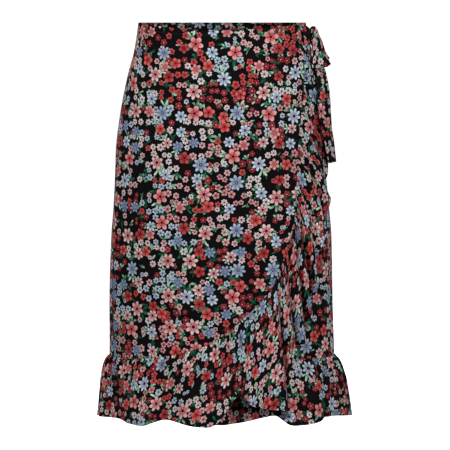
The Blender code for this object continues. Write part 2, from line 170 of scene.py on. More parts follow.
# The outer front's ruffle goes from the waist round the corner to the side seam. Its rows also have
# the fold's place on the seam, and how many rows it falls on the way to the free edge.
OVERLAP_RUFFLE = table(
    "seam_turn seam_drop edge_turn edge_drop stand swing fall",
    (62.0, 3, 70, 9, 3.3, 0.1, 0.0),
    (61.7, 30, 80, 62, 4.5, 0.8, 1.0),
    (59.5, 62, 84, 108, 6, 2, 2.0),
    (55.0, 95, 82, 150, 6.5, 2.5, 2.5),
    (50.5, 130, 78, 190, 6.5, 3, 2.5),
    (47.0, 163, 73.5, 226, 6.8, 2.5, 2.5),
    (44.3, 196, 69, 262, 7.0, 2.5, 2.3),
    (42.5, 226, 62, 300, 10, 6, 2.0),
    (41.2, 250, 54, 340, 10.5, 6, 1.6),
    (40.3, 272, 49.5, 385, 10.5, 6, 1.2),
    (39.0, 292, 46.5, 425, 11, 6, 0.8),
    (37.2, 310, 43.8, 462, 11, 6, 0.4),
    (35.0, 328, 40.5, 484, 12, 6, 0.1),
    (32.3, 346, 36, 488, 12, 6, 0.0),
    (29.6, 364, 32.5, 508, 13, 6, 0.0),
    (26.9, 382, 30.0, 545, 14, 6, 0.0),
    (24.3, 398, 29.3, 583, 15, 5, 0.0),
    (18.5, 420, 21, 581, 15, 2, 0.0),
    (11.5, 440, 13.5, 574, 15, 5, 0.0),
    (5.0, 458, 7.8, 558, 14, -3, 0.0),
    (-6.0, 483, -6.5, 606, 16, 8, 0.0),
    (-23.0, 500, -25.8, 598, 16, 8, 0.0),
    (-38.0, 507, -38.8, 608, 16, 8, 0.0),
    (-60.0, 511, -60.5, 604, 14, 7, 0.0),
    (-90.0, 512, -90.0, 609, 14, 7, 0.0),
)
# The knot: its place, then its ovals from the top down.
KNOT = dict(turn=84.0, drop=21.0, out=8.0)
KNOT_TOP = -14.2
KNOT_LENGTH = 28.9
KNOT_CLOTH = (42.0, 30.0)  # cloth round it and down it
KNOT_SECTIONS = table(
    "down width depth",
    (-14, 10, 5),
    (-12.5, 15, 9),
    (-6, 18, 12),
    (2, 18, 12),
    (9, 17, 11),
    (13, 14, 9),
    (14.5, 9, 5),
)
# The front loop of the bow, from its start at the knot round to its end there: both of its edges,
# measured forwards, outwards and down from the knot.
LOOP = table(
    "upper_forward upper_outward upper_down lower_forward lower_outward lower_down",
    (9.7, 0.8, -9, 9.7, 0.8, 8),
    (15, 4, -14, 17, 0, 13),
    (19, 8, -7, 27, 0, 27),
    (18, 10.5, 9, 33, 1, 40),
    (15, 17, 27, 35, 3, 49),
    (12, 27, 41, 31, 7, 53),
    (3, 28.5, 44, 22, 12, 54),
    (2, 21, 29, 17, 12, 43),
    (4, 16, 12, 13, 11, 28),
    (7.5, 9, -2, 10.5, 7.5, 14),
    (9.7, 4.0, -8, 9.7, 3.5, 6),
)
LOOP_END = 9.7  # how far forwards the loop starts and ends
BACK_LOOP_SIZE = 0.82  # of the back loop, to the front one
# Tails from the knot down, and straps from the waist: both edges of each.
FRONT_TAIL = table(
    "drop near_turn near_out far_turn far_out",
    (36.5, 80.5, 7.5, 87.2, 7.5),
    (50, 79, 8.3, 88, 12),
    (66, 75.5, 7.7, 86.5, 14.5),
    (82, 70, 9.6, 82, 17.5),
    (100, 65.8, 11.3, 80, 18.5),
    (125, 63.2, 11.5, 79, 19),
    (161, 65.5, 12, 79.5, 18.8),
    (187, 68.5, 13, 82, 19.7),
    (216.5, 70.5, 13, 84, 18.6),
)
BACK_TAIL = table(
    "drop near_turn near_out far_turn far_out",
    (36.5, 88.4, 7.0, 94.5, 4.6),
    (52, 92, 3.6, 101, 3.0),
    (76, 95, 2.8, 107, 2.6),
    (110, 97, 3, 109, 3),
    (150, 98, 4, 110, 3.5),
    (188, 98.5, 4.5, 111, 3.5),
)
FRONT_STRAP = table(
    "turn top_drop bottom_drop out",
    (62.6, 4.5, 35.5, 5.3),
    (65, 5.3, 35, 6.0),
    (69, 6.5, 35, 6.2),
    (74, 9, 35, 6.0),
    (79.3, 12, 39.5, 4.9),
)
BACK_STRAP = table(
    "turn top_drop bottom_drop out",
    (89.2, 13, 30, 5.0),
    (94, 8.5, 33, 3.8),
    (100, 6, 35, 2.8),
    (107, 5, 35, 2.2),
)

# Gathers below a ruffle's seam: their spacing along it, height, where they start, and how far down
# they reach.
GATHERS = table(
    "spacing height start reach",
    (23.0, 1.25, 3, 66),
    (14.5, 1.05, 11, 48),
    (9.7, 0.80, 5, 34),
    (6.6, 0.55, 2, 21),
    (4.7, 0.34, 1, 12),
)
# Ripples of a ruffle's free edge, which fade upwards.
RIPPLES = table(
    "spacing height start",
    (52.0, 1.5, 12),
    (33.0, 0.9, 5),
    (19.0, 0.35, 9),
)
# Puckers above a gathered seam.
PULLS = table(
    "spacing height start",
    (12.5, 1.0, 7.0),
    (7.9, 0.6, 0.0),
)
# Soft creases of the hanging panels: where the middle is, how it leans, its half length and half
# width, and its height, below zero for a trough.
CREASES = table(
    "turn drop lean length width height",
    (-66, 330, 4, 130, 13, 1.3),
    (-50, 400, 7, 95, 9, -1.2),
    (-34, 300, -3, 120, 15, 1.0),
    (-20, 430, 5, 70, 10, -1.0),
    (-6, 350, -4, 120, 12, 1.1),
    (12, 420, -7, 60, 9, -1.1),
    (24, 180, -10, 100, 12, 0.9),
    (36, 110, -16, 60, 8, -1.0),
    (44, 60, -35, 34, 5, 1.0),
    (50, 52, -42, 26, 4, -0.9),
    (-72, 90, 20, 50, 8, -0.8),
    (62, 380, 3, 110, 9, 1.3),
    (74, 420, -4, 90, 8, -1.1),
    (104, 360, 4, 120, 12, 1.2),
    (121, 300, -5, 110, 11, -1.1),
    (140, 380, 6, 100, 13, 1.2),
    (158, 250, -3, 130, 12, -1.0),
    (176, 400, 3, 90, 12, 1.2),
    (192, 150, 9, 60, 10, -0.8),
    (205, 340, -6, 120, 12, -1.2),
    (224, 400, 4, 90, 13, 1.3),
    (241, 260, -4, 120, 12, -1.0),
    (256, 380, 3, 100, 10, 1.1),
)


def curve(at, knots, values):
    """Smooth curve through the knots: a cubic between each two, never past the given values."""
    rise = np.diff(values) / np.diff(knots)
    before = np.append(rise[0], rise)
    after = np.append(rise, rise[-1])
    goes_on = before * after > 0
    slope = np.where(goes_on, 2 * before * after / np.where(goes_on, before + after, 1), 0)
    at = np.clip(at, knots[0], knots[-1])
    k = np.clip(np.searchsorted(knots, at, side="right") - 1, 0, len(knots) - 2)
    width = knots[k + 1] - knots[k]
    f = (at - knots[k]) / width
    start = (1 + 2 * f) * (1 - f) ** 2 * values[k] + f * (1 - f) ** 2 * width * slope[k]
    end = f**2 * (3 - 2 * f) * values[k + 1] + f**2 * (f - 1) * width * slope[k + 1]
    return start + end


def column(rows, name, at):
    """A column of a table at any row, whole or in between, along the curve through its values."""
    return curve(at, np.arange(len(rows[name]), dtype=float), rows[name])


def ease(share):
    """3 s^2 - 2 s^3: a smooth rise from 0 to 1."""
    share = np.clip(share, 0, 1)
    return share * share * (3 - 2 * share)


def form_size(name, drop):
    """Half width or depth of the form at a drop: the smooth curve through FORM's rows."""
    return curve(drop, FORM["drop"], FORM[name])


def form(turn, drop):
    """A place on the form at a turn and a drop, with the waves of the hanging cloth.

    x = sin * (half width * (1 + SQUARE * cos^2) + wave)
    y = -cos * (depth * (1 + SQUARE * sin^2) + wave)
    """
    turn, drop = np.broadcast_arrays(np.asarray(turn, float), np.asarray(drop, float))
    angle = np.radians(turn)
    across, ahead = np.sin(angle), np.cos(angle)
    side = np.where(across < 0, form_size("right", drop), form_size("left", drop))
    depth = np.where(ahead > 0, form_size("front", drop), form_size("back", drop))
    wave = sum(
        height * np.cos(waves * angle + math.radians(phase))
        for waves, height, phase in zip(DRAPE["waves"], DRAPE["height"], DRAPE["phase"])
    )
    wave = wave * np.clip(drop / SEAM_DROP, 0, 1) ** 2
    x = across * (side * (1 + SQUARE * ahead**2) + wave)
    y = -ahead * (depth * (1 + SQUARE * across**2) + wave)
    return np.stack((x, y, -drop), axis=-1)


def unit(vectors):
    """The same directions at length 1."""
    return vectors / np.linalg.norm(vectors, axis=-1, keepdims=True)


def form_normal(turn, drop):
    """Outward normal of the form: the cross product of a step down it and a step round it."""
    round_it = form(turn + 0.5, drop) - form(turn - 0.5, drop)
    down_it = form(turn, drop + 1.0) - form(turn, drop - 1.0)
    return unit(np.cross(down_it, round_it))


def off_form(turn, drop, out):
    """The form's point plus out along its normal."""
    return form(turn, drop) + form_normal(turn, drop) * np.asarray(out, float)[..., None]


def waist_drop(turn):
    """The waist edge dips by WAIST_DIP * cos^2 at the front and is level at the back."""
    ahead = np.cos(np.radians(turn))
    return np.where(ahead > 0, WAIST_DIP * ahead**2, 0.0)


def seam_drop(turn):
    """The hem seam rises by SEAM_RISE * cos^2 at the front and is level at the back."""
    ahead = np.cos(np.radians(turn))
    return SEAM_DROP - np.where(ahead > 0, SEAM_RISE * ahead**2, 0.0)


def overlap_out(turn):
    """How far the outer front lies off the form: a rise from its side seam to where they meet."""
    start, end = OVERLAP_MEETS
    return OVERLAP_OUT * ease((turn - start) / (end - start))


def fold(row):
    """A ruffle's wave, +1 at even rows and -1 at odd ones, with broad ridges and narrow valleys."""
    wave = np.cos(math.pi * row)
    return wave + 0.3 * (1 - wave**2)


def puckers(length, depth):
    """A wave along the seam times d exp(1 - d), where d = depth / PUCKER_AT."""
    depth = np.clip(depth, 0, 1)
    fade = depth / PUCKER_AT * np.exp(1 - depth / PUCKER_AT)
    return PUCKER * fade * np.sin(2 * math.pi * length / GATHER_SPACING)


def row_at(rows, turn):
    """The row of a hem ruffle's table, whole or in between, at a turn."""
    return np.interp(turn, rows["turn"], np.arange(len(rows["turn"])))


def edge_stand(rows, row, folded):
    """How far a free edge stands off the form: its row's own, plus its swing times the fold."""
    return column(rows, "stand", row) + column(rows, "swing", row) * folded


def flare(depth):
    """How far the cloth stands off at a depth, as a share of the free edge's distance."""
    return curve(depth, FLARE["depth"], FLARE["share"])


def hem_ruffle_out(rows, turn, drop):
    """The flare at that depth times the free edge's distance off the form, plus the puckers."""
    row = row_at(rows, turn)
    top = seam_drop(turn)
    depth = np.clip((drop - top) / (column(rows, "edge_drop", row) - top), 0, 1)
    length = np.radians(turn) * FORM["left"][-1]
    return flare(depth) * edge_stand(rows, row, fold(row)) + puckers(length, depth)


def overlap_seam(row):
    """Turn and drop of the outer front's seam with its ruffle, at a row of OVERLAP_RUFFLE."""
    return column(OVERLAP_RUFFLE, "seam_turn", row), column(OVERLAP_RUFFLE, "seam_drop", row)


def running(steps):
    """Running totals from 0, along the first axis."""
    return np.concatenate((np.zeros((1, *steps.shape[1:])), np.cumsum(steps, axis=0)))


def seam_rows(stations):
    """Rows, and lengths from the waist, of stations evenly spaced along the outer front's seam."""
    fine = np.linspace(0, len(OVERLAP_RUFFLE["fall"]) - 1, 1200)
    length = running(np.linalg.norm(np.diff(form(*overlap_seam(fine)), axis=0), axis=1))
    from_waist = stations / STATIONS * length[-1]
    return np.interp(from_waist, length, fine), from_waist


# The fine cloth


def normals(grid):
    """Unit normals of a grid: the cross products of its steps across and down."""
    return unit(np.cross(np.gradient(grid, axis=1), np.gradient(grid, axis=0)))


def shares(count, length, fine_start=True):
    """0 to 1 in even steps, with three close steps at the end and, where fine, at the start."""
    close = np.array((0.0, 0.7, 1.6, 3.0)) / length
    start = close if fine_start else np.zeros(1)
    end = (1 - close)[::-1]
    between = np.linspace(start[-1], end[0], count + 1)[1:-1]
    return np.concatenate((start, between, end))


def rolled(distance):
    """How far a sewn edge rolls in: ROLL at the edge, fading with the distance from it."""
    return -ROLL * np.exp(-np.clip(distance, 0, None) / ROLL_LENGTH)


ROUND_STEP, DOWN_STEP = 2.0, 40.0
ROUND_TURNS = np.arange(-100.0, 281.0, ROUND_STEP)
ROUND_DROPS = np.arange(0.0, 641.0, DOWN_STEP)


def arc_table():
    """Length round the form from centre front, at each of ROUND_TURNS and ROUND_DROPS."""
    points = form(ROUND_TURNS[:, None], ROUND_DROPS[None, :])
    length = running(np.linalg.norm(np.diff(points, axis=0), axis=-1))
    return length - length[np.searchsorted(ROUND_TURNS, 0.0)]


ARC = arc_table()


def round_length(turn, drop):
    """Millimetres round the form from centre front, read between the table's rows and columns."""
    a = np.clip((turn - ROUND_TURNS[0]) / ROUND_STEP, 0, len(ROUND_TURNS) - 1.001)
    b = np.clip(drop / DOWN_STEP, 0, len(ROUND_DROPS) - 1.001)
    i, j = a.astype(int), b.astype(int)
    a, b = a - i, b - j
    upper = ARC[i, j] * (1 - a) + ARC[i + 1, j] * a
    lower = ARC[i, j + 1] * (1 - a) + ARC[i + 1, j + 1] * a
    return upper * (1 - b) + lower * b


def creases(turn, drop):
    """Soft ridges and troughs, which ease in below the waist.

    Each is height * exp(-(along / length)^2 - (across / width)^2).
    """
    total = np.zeros(np.broadcast(turn, drop).shape)
    for at, level, lean, length, width, height in zip(*CREASES.values()):
        beside = round_length(turn, drop) - round_length(np.array(at), np.array(level))
        below = drop - level
        slant = math.radians(lean)
        along = below * math.cos(slant) + beside * math.sin(slant)
        across = beside * math.cos(slant) - below * math.sin(slant)
        total = total + height * np.exp(-((along / length) ** 2) - (across / width) ** 2)
    start, over = CREASE_START
    return total * ease((drop - start) / over)


def uneven(length):
    """A length along a seam, stretched and squeezed so that what repeats on it does so unevenly."""
    total = length
    for much, over, start in UNEVEN:
        total = total + much * np.sin(length / over + start)
    return total


def uneven_waves(rows, length):
    """Sum of a table's waves: height * sin(2 pi u / spacing), where u is the uneven length."""
    total = 0.0
    for spacing, height, start in zip(*rows.values()):
        total = total + height * np.sin(2 * math.pi * uneven(length + start) / spacing)
    return total


def gathers(length, below):
    """Gathers below a seam: waves along it that rise at once and fade out further down.

    Their strength changes along the seam, and their lines bend a little on the way down.
    """
    below = np.clip(below, 0, None)
    mean, change = GATHER_STRENGTH
    bent, over = GATHER_BEND
    total = 0.0
    for spacing, height, start, reach in zip(*GATHERS.values()):
        strength = mean + change * np.sin(length / (2.3 * spacing) + start)
        bend = bent * np.sin(below / over + start)
        wave = np.sin(2 * math.pi * uneven(length + start) / spacing + bend)
        total = total + height * strength * wave * np.exp(-((below / reach) ** 2))
    return total * (1 - np.exp(-below / GATHER_RISE))


def ripples(length, depth):
    """Ripples of the free edge, growing with the square of the depth."""
    return uneven_waves(RIPPLES, length) * np.clip(depth, 0, 1) ** 2


def pulls(length, above):
    """Small puckers that the gathered seam pulls into the panel above it."""
    return PULL * uneven_waves(PULLS, length) * np.exp(-np.clip(above, 0, None) / PULL_REACH)


def hem_thickness(from_edge):
    """Thickness of the cloth, more where the hem is turned."""
    past, over = HEM_STEP
    return CLOTH + HEM_EXTRA * ease((HEM_WIDTH + past - from_edge) / over)


def tucked(below):
    """How far an allowance lies inside the form, eased out a little below its seam."""
    past, over = TUCK_STEP
    return -TUCK * ease((past - below) / over)


def from_waist(below):
    """Distance from the waist edge, scaled so that its turned part ends where a hem's does."""
    return below * HEM_WIDTH / WAIST_WIDTH


def panel_cloth(turn, drop):
    """A panel's cloth coordinates: the length round the form, and down it."""
    return np.stack((round_length(turn, drop), -drop * PANEL_CLOTH), axis=-1)


def panel_grid(turn, drop, base_out, seams, above):
    """A panel's points: the form's, plus base_out, creases, the hem seam's pulls and the rolls."""
    out = base_out + creases(turn, drop)
    out = out + pulls(round_length(turn, drop), above)
    for distance in seams:
        out = out + rolled(distance)
    return off_form(turn, drop, out)


def back_turns(columns, length):
    """Turns across the back, carried on past both side seams by the seam allowances."""
    turn = 90 + SIDE_TRIM + shares(columns, length)[:, None] * (180 - 2 * SIDE_TRIM)
    beyond = np.array(ALLOWANCE_TURNS)[:, None]
    return np.concatenate((turn[0] - beyond, turn, turn[-1] + beyond[::-1]))


def underlap_turns(columns, length):
    """Turns across the inner front, from its hidden free edge to the wearer's left side seam."""
    return UNDERLAP_END + shares(columns, length)[:, None] * (90 - SIDE_TRIM - UNDERLAP_END)


def back_panel(columns, levels):
    """Drop = the hem seam's drop times a share, at turns from side seam to side seam."""
    turn = back_turns(columns, 470)
    share = shares(levels, SEAM_DROP, False)[None, :]
    drop = (SEAM_DROP + 0 * turn) * share
    turn = turn + 0 * drop
    to_side = np.minimum(turn - 90, 270 - turn) * DEGREE
    above = SEAM_DROP - drop
    inside = np.where(to_side < 0, ROLL - TUCK, 0.0)
    uv = panel_cloth(turn, drop)
    uv[..., 0] -= round_length(np.full_like(drop, 180.0), drop)
    return panel_grid(turn, drop, inside, (to_side, above), above), uv, from_waist(drop)


def front_underlap(columns, levels):
    """Drop = waist + share * (hem seam - waist), at turns from the free edge to the side seam."""
    turn = underlap_turns(columns, 480)
    top = waist_drop(turn)
    drop = top + (seam_drop(turn) - top) * shares(levels, SEAM_DROP, False)[None, :]
    turn = turn + 0 * drop
    above = seam_drop(turn) - drop
    grid = panel_grid(turn, drop, 0, ((90 - turn) * DEGREE, above), above)
    return grid, panel_cloth(turn, drop), from_waist(drop - top)


def front_overlap(columns, levels):
    """A patch between the waist, the side seam and the ruffle's seam, which bends round the corner.

    Each point is the sum of its two edge-to-edge lines, less the one through the four corners.
    """
    side = -90 + SIDE_TRIM
    across = shares(columns, 300)[:, None, None]
    down = shares(levels, 470, False)[None, :, None]
    front_row, front_length = seam_rows(CORNER * down[0, :, 0])
    hem_row, hem_length = seam_rows(STATIONS + (CORNER - STATIONS) * across[:, 0, 0])
    front = np.stack(overlap_seam(front_row), axis=-1)[None, :]
    hem = np.stack(overlap_seam(hem_row), axis=-1)[:, None]
    hem[0, 0, 0] = side
    waist_turn = side + across * (front[0, 0, 0] - side)
    waist = np.concatenate((waist_turn, waist_drop(waist_turn)), axis=-1)
    waist[-1, 0] = front[0, 0]
    side_seam = np.concatenate((side + 0 * down, hem[0, 0, 1] * down), axis=-1)
    corners = (1 - across) * ((1 - down) * waist[0, 0] + down * hem[0, 0])
    corners = corners + across * ((1 - down) * waist[-1, 0] + down * hem[-1, 0])
    patch = (1 - down) * waist + down * hem + (1 - across) * side_seam + across * front - corners
    turn, drop = patch[..., 0], patch[..., 1]
    flat = form(turn, drop)
    to_front = np.linalg.norm(flat - flat[-1:, :], axis=-1)
    to_hem = np.linalg.norm(flat - flat[:, -1:], axis=-1)
    to_side = np.linalg.norm(flat - flat[:1, :], axis=-1)
    to_ruffle = np.minimum(to_front, to_hem)
    near_front = to_front < to_hem
    length = np.where(near_front, front_length[None, :], hem_length[:, None])
    blend = ease(np.abs(to_front - to_hem) / 6.0)
    out = overlap_out(turn) + creases(turn, drop) + pulls(length, to_ruffle) * blend
    out = out + rolled(to_ruffle) + rolled(to_side)
    edge = from_waist(drop - waist_drop(turn))
    return off_form(turn, drop, out), panel_cloth(turn, drop), edge


def hem_ruffle_folds(rows, turn, drop):
    """How far a hem ruffle hangs off the form. Gathers and ripples are level at a side seam."""
    seam = seam_drop(turn)
    depth = (drop - seam) / (column(rows, "edge_drop", row_at(rows, turn)) - seam)
    length = round_length(turn, np.full_like(drop, SEAM_DROP))
    from_side = np.abs(np.abs(turn - 180) - 90) * DEGREE
    fine = HEM_GATHERS * gathers(length, drop - seam) + ripples(length, depth)
    return hem_ruffle_out(rows, turn, drop) + fine * ease(from_side / SIDE_CALM)


def hem_ruffle(rows, turn, levels):
    """Drop = seam + depth * (free edge - seam), out = flare * the edge's, plus gathers and ripples.

    Its allowance passes behind the panel.
    """
    seam = seam_drop(turn)
    top = seam + SEAM_GAP
    edge = column(rows, "edge_drop", row_at(rows, turn))
    depth = shares(levels, 100, False)[None, :] ** ROW_POWER
    drop = top + depth * (edge - top)
    drop = np.concatenate((*(seam - above for above in ALLOWANCE_ROWS), drop), axis=1)
    turn = turn + 0 * drop
    below = drop - seam
    from_side = 90 - np.abs(turn - 180) if rows is BACK_RUFFLE else 90 - turn
    at_side = np.where(from_side < 0, -TUCK, rolled(from_side * DEGREE))
    out = np.where(below < 0, 0.0, hem_ruffle_folds(rows, turn, drop))
    out = out + np.minimum(tucked(below), at_side)
    length = round_length(turn, np.full_like(drop, SEAM_DROP))
    uv = np.stack((length * GATHER_RATIO, -below * RUFFLE_CLOTH), axis=-1)
    return off_form(turn, drop, out), uv, edge - drop


def overlap_ruffle(columns, levels, first, last):
    """The ruffle of the outer front between two stations of its seam.

    Straight lines join the seam to the free edge. A fold at the free edge belongs to the seam's row
    less its fall. The cloth keeps clear of the inner front and its ruffle, and its allowance passes
    behind the panel.
    """
    stations = first + (last - first) * np.linspace(0, 1, columns + 1)
    joined = np.array(JOIN_STATIONS) if first > 0 else np.zeros(0)
    stations = np.concatenate((first - joined, stations))
    row, length = (values[:, None] for values in seam_rows(stations))
    seam_turn, seam_at = overlap_seam(row)
    edge_turn = column(OVERLAP_RUFFLE, "edge_turn", row)
    edge_drop = column(OVERLAP_RUFFLE, "edge_drop", row)
    reach = np.linalg.norm(form(edge_turn, edge_drop) - form(seam_turn, seam_at), axis=-1)
    depth = shares(levels, 100, False)[None, :] ** ROW_POWER
    share = SEAM_GAP / reach + (1 - SEAM_GAP / reach) * depth
    behind = np.array(ALLOWANCE_ROWS) / np.maximum(reach, LEAST_REACH)
    share = np.concatenate((-behind, share), axis=1)
    depth = np.clip(share, 0, 1)
    turn = seam_turn + share * (edge_turn - seam_turn)
    drop = seam_at + share * (edge_drop - seam_at)
    below = share * reach
    folded = fold(row - column(OVERLAP_RUFFLE, "fall", row) * depth)
    edge_out = edge_stand(OVERLAP_RUFFLE, row, folded)
    seam_out = overlap_out(seam_turn)
    from_side = (turn + 90) * DEGREE
    start, over = EDGE_START
    full = ease((length - start) / over) * ease(from_side / SIDE_CALM)
    growing = ripples(length, depth) * ease(length / RIPPLE_LENGTH)
    fine = EDGE_GATHERS * gathers(length, below) + growing
    out = seam_out + flare(depth) * (edge_out - seam_out) + puckers(length, depth) + fine * full
    under = hem_ruffle_folds(UNDERLAP_RUFFLE, np.maximum(turn, UNDERLAP_END), drop)
    out = np.maximum(out, np.where(turn > UNDERLAP_END - 3, under + UNDER_GAP, -np.inf))
    from_join = np.abs(stations - RUFFLE_JOIN)[:, None] * STATION
    at_join = np.where(stations[:, None] < first, -JOIN_TUCK, rolled(from_join))
    inside = np.minimum(tucked(below), rolled(from_side))
    grid = off_form(turn, drop, np.where(below < 0, seam_out, out) + np.minimum(inside, at_join))
    spread = np.linalg.norm(np.diff(grid[:, int(levels * 0.5)], axis=0), axis=-1)
    gathered = np.diff(length[:, 0]) * GATHER_RATIO
    along_it = running(np.maximum(spread, gathered))[:, None]
    uv = np.stack((along_it + 0 * below, -below), axis=-1)
    return grid[::-1], uv[::-1], (reach - below)[::-1]


# The tie


def along(rows, name, at):
    """A column of a table at a share, from 0 to 1, of its whole length."""
    return column(rows, name, at * (len(rows[name]) - 1))


def band(near, far, across, cup):
    """Straight lines from edge to edge, raised in the middle by cup * sin(pi * share)."""
    share = across[None, :, None]
    grid = near[:, None] * (1 - share) + far[:, None] * share
    return grid - normals(grid) * (cup * np.sin(math.pi * share))


def band_uv(grid):
    """Cloth coordinates of a band: its width, with some more for its pleats, and its length."""
    middle = grid[:, grid.shape[1] // 2]
    length = running(np.linalg.norm(np.diff(middle, axis=0), axis=-1))[:, None]
    width = np.linalg.norm(grid[:, -1] - grid[:, 0], axis=-1).mean()
    width = 1.08 * width * np.linspace(0, 1, grid.shape[1])[None, :]
    return np.stack((width + 0 * length, -length + 0 * width), axis=-1)


def pleats(grid, count, height, fade, sway=0.0):
    """Lengthwise pleats: height * fade * sin(2 pi * count * across), shifted to and fro by sway."""
    across = np.linspace(0, 1, grid.shape[1])[None, :, None]
    at = np.linspace(0, 1, len(grid))[:, None, None]
    shift = 0.7 + sway * np.sin(7.0 * at)
    wave = np.sin(2 * math.pi * count * across + shift) * np.sin(math.pi * across) ** 0.5
    return grid + normals(grid) * height * wave * fade[:, None, None]


def tail(rows, pieces, across, pinch):
    """A band between two edges on the form, pleated at the knot by e^-5.5t, swaying as sin(9 t)."""
    at = np.linspace(0, 1, pieces + 1)
    drop = along(rows, "drop", at)
    near = off_form(along(rows, "near_turn", at), drop, along(rows, "near_out", at))
    far = off_form(along(rows, "far_turn", at), drop, along(rows, "far_out", at))
    grid = band(near, far, np.linspace(0, 1, across + 1), cup=1.5)
    uv = band_uv(grid)
    grid = pleats(grid, count=2.5, height=pinch, fade=np.exp(-at * 5.5) + 0.22)
    sway = 0.7 * np.sin(at * 9.0 + 0.4)[:, None, None] * ease(at * 3)[:, None, None]
    return grid + normals(grid) * sway, uv


def strap(rows, pieces, across):
    """A band round the waist between two curves of drop, pleated by t^1.5 towards the knot."""
    at = np.linspace(0, 1, pieces + 1)
    turn, out = along(rows, "turn", at), along(rows, "out", at)
    top = off_form(turn, along(rows, "top_drop", at), out)
    bottom = off_form(turn, along(rows, "bottom_drop", at), out)
    grid = band(top, bottom, np.linspace(0, 1, across + 1), cup=-1.0)
    to_knot = at if rows is FRONT_STRAP else 1 - at
    return pleats(grid, count=2.5, height=0.9, fade=to_knot**1.5), band_uv(grid)


def bow_frame():
    """The knot's place, and the forward, outward and downward directions there."""
    turn, drop = np.array(KNOT["turn"]), np.array(KNOT["drop"])
    place = off_form(turn, drop, KNOT["out"])
    forward = unit(form(turn - 1, drop) - form(turn + 1, drop))
    outward = unit(np.cross(forward, (0.0, 0.0, 1.0)))
    return place, forward, outward * np.sign(outward[0]), np.array((0.0, 0.0, -1.0))


def loop(pieces, across, way, size):
    """A band between the two edges of LOOP, seen from the knot, pleated at both ends by e^-6t."""
    place, forward, outward, downward = bow_frame()
    at = np.linspace(0, 1, pieces + 1)
    edges = []
    for edge in ("upper", "lower"):
        names = (f"{edge}_{part}" for part in ("forward", "outward", "down"))
        ahead, out, down = (along(LOOP, name, at)[:, None] for name in names)
        ahead = way * (LOOP_END + (ahead - LOOP_END) * size)
        edges.append(place + ahead * forward + size**0.5 * out * outward + size * down * downward)
    grid = band(*edges, np.linspace(0, 1, across + 1), cup=0.0)
    uv = band_uv(grid)
    pinched = np.exp(-at * 6) + np.exp(-(1 - at) * 6)
    grid = pleats(grid, count=3.3, height=1.5 * size, fade=pinched + 0.16, sway=0.5)
    return pleats(grid, count=1.4, height=size, fade=1 - pinched * 0.7, sway=1.6), uv


def knot(rings, sides):
    """Ovals one under another, with slanting folds: radius times 1 + waves of angle and height."""
    place, forward, outward, downward = bow_frame()
    at = np.linspace(0.015, 0.985, rings)
    height = KNOT_TOP + KNOT_LENGTH * (1 - np.cos(math.pi * at)) / 2
    angle = np.linspace(0, 2 * math.pi, sides, endpoint=False)
    closing = np.sin(math.pi * at) ** 0.35
    width = curve(height, KNOT_SECTIONS["down"], KNOT_SECTIONS["width"]) / 2 * closing
    depth = curve(height, KNOT_SECTIONS["down"], KNOT_SECTIONS["depth"]) / 2 * closing
    folds = 1 + 0.07 * np.sin(0.62 * height[:, None] + 1.6 * np.cos(angle)[None, :] + 0.8)
    folds = (folds + 0.04 * np.sin(1.3 * height[:, None] - 2.2 * np.sin(angle)[None, :]))[..., None]
    grid = place + height[:, None, None] * downward
    grid = grid + folds * (width[:, None, None] * np.cos(angle)[None, :, None] * forward)
    grid = grid + folds * (depth[:, None, None] * np.sin(angle)[None, :, None] * outward)
    return grid


# Meshes


def make_mesh(name, points, faces, corner_uv, from_edge, wrong_side, finishes):
    """A piece from points and faces, with its cloth coordinates and distances from its edge."""
    mesh = bpy.data.meshes.new(name)
    mesh.from_pydata((points * MM).tolist(), [], faces)
    for finish in finishes:
        mesh.materials.append(finish)
    mesh.polygons.foreach_set("material_index", wrong_side.astype(np.int32))
    layer = mesh.uv_layers.new(name="cloth")
    layer.data.foreach_set("uv", (corner_uv * MM).ravel())
    edge = mesh.attributes.new("from_edge", "FLOAT", "POINT")
    edge.data.foreach_set("value", from_edge.astype(np.float32))
    mesh.shade_smooth()
    mesh.set_sharp_from_angle(angle=math.radians(55))
    mesh.update()
    piece = bpy.data.objects.new(name + "_cloth", mesh)
    bpy.context.scene.collection.objects.link(piece)
    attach(piece, "root")
    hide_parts(name)
    return piece


def add_cloth(name, grid, uv, finishes, thickness, from_edge):
    """A thin shell: the grid moved half the cloth's thickness to each side, joined round the rim.

    The extra thickness of a hem goes to the inner side. Outer faces have the first finish.
    """
    normal = normals(grid)
    count, levels = grid.shape[:2]
    thickness = np.broadcast_to(thickness, (count, levels))[..., None]
    outer = grid + normal * CLOTH / 2
    inner = grid - normal * (thickness - CLOTH / 2)
    points = np.stack((outer, inner)).reshape(-1, 3)
    index = np.arange(count * levels).reshape(count, levels)
    quads = np.stack((index[:-1, :-1], index[:-1, 1:], index[1:, 1:], index[1:, :-1]), axis=-1)
    quads = quads.reshape(-1, 4)
    rim = np.concatenate((index[:-1, 0], index[-1, :-1], index[:0:-1, -1], index[0, :0:-1]))
    after = np.roll(rim, -1)
    sides = np.stack((rim, rim + index.size, after + index.size, after), axis=1)
    faces = np.concatenate((quads, quads[:, ::-1] + index.size, sides[:, ::-1]))
    wrong_side = np.concatenate((np.zeros(len(quads)), np.ones(len(quads)), np.zeros(len(sides))))
    edge = np.tile(np.broadcast_to(from_edge, (count, levels)).reshape(-1), 2)
    flat = np.tile(uv.reshape(-1, 2), (2, 1))
    return make_mesh(name, points, faces.tolist(), flat[faces.ravel()], edge, wrong_side, finishes)


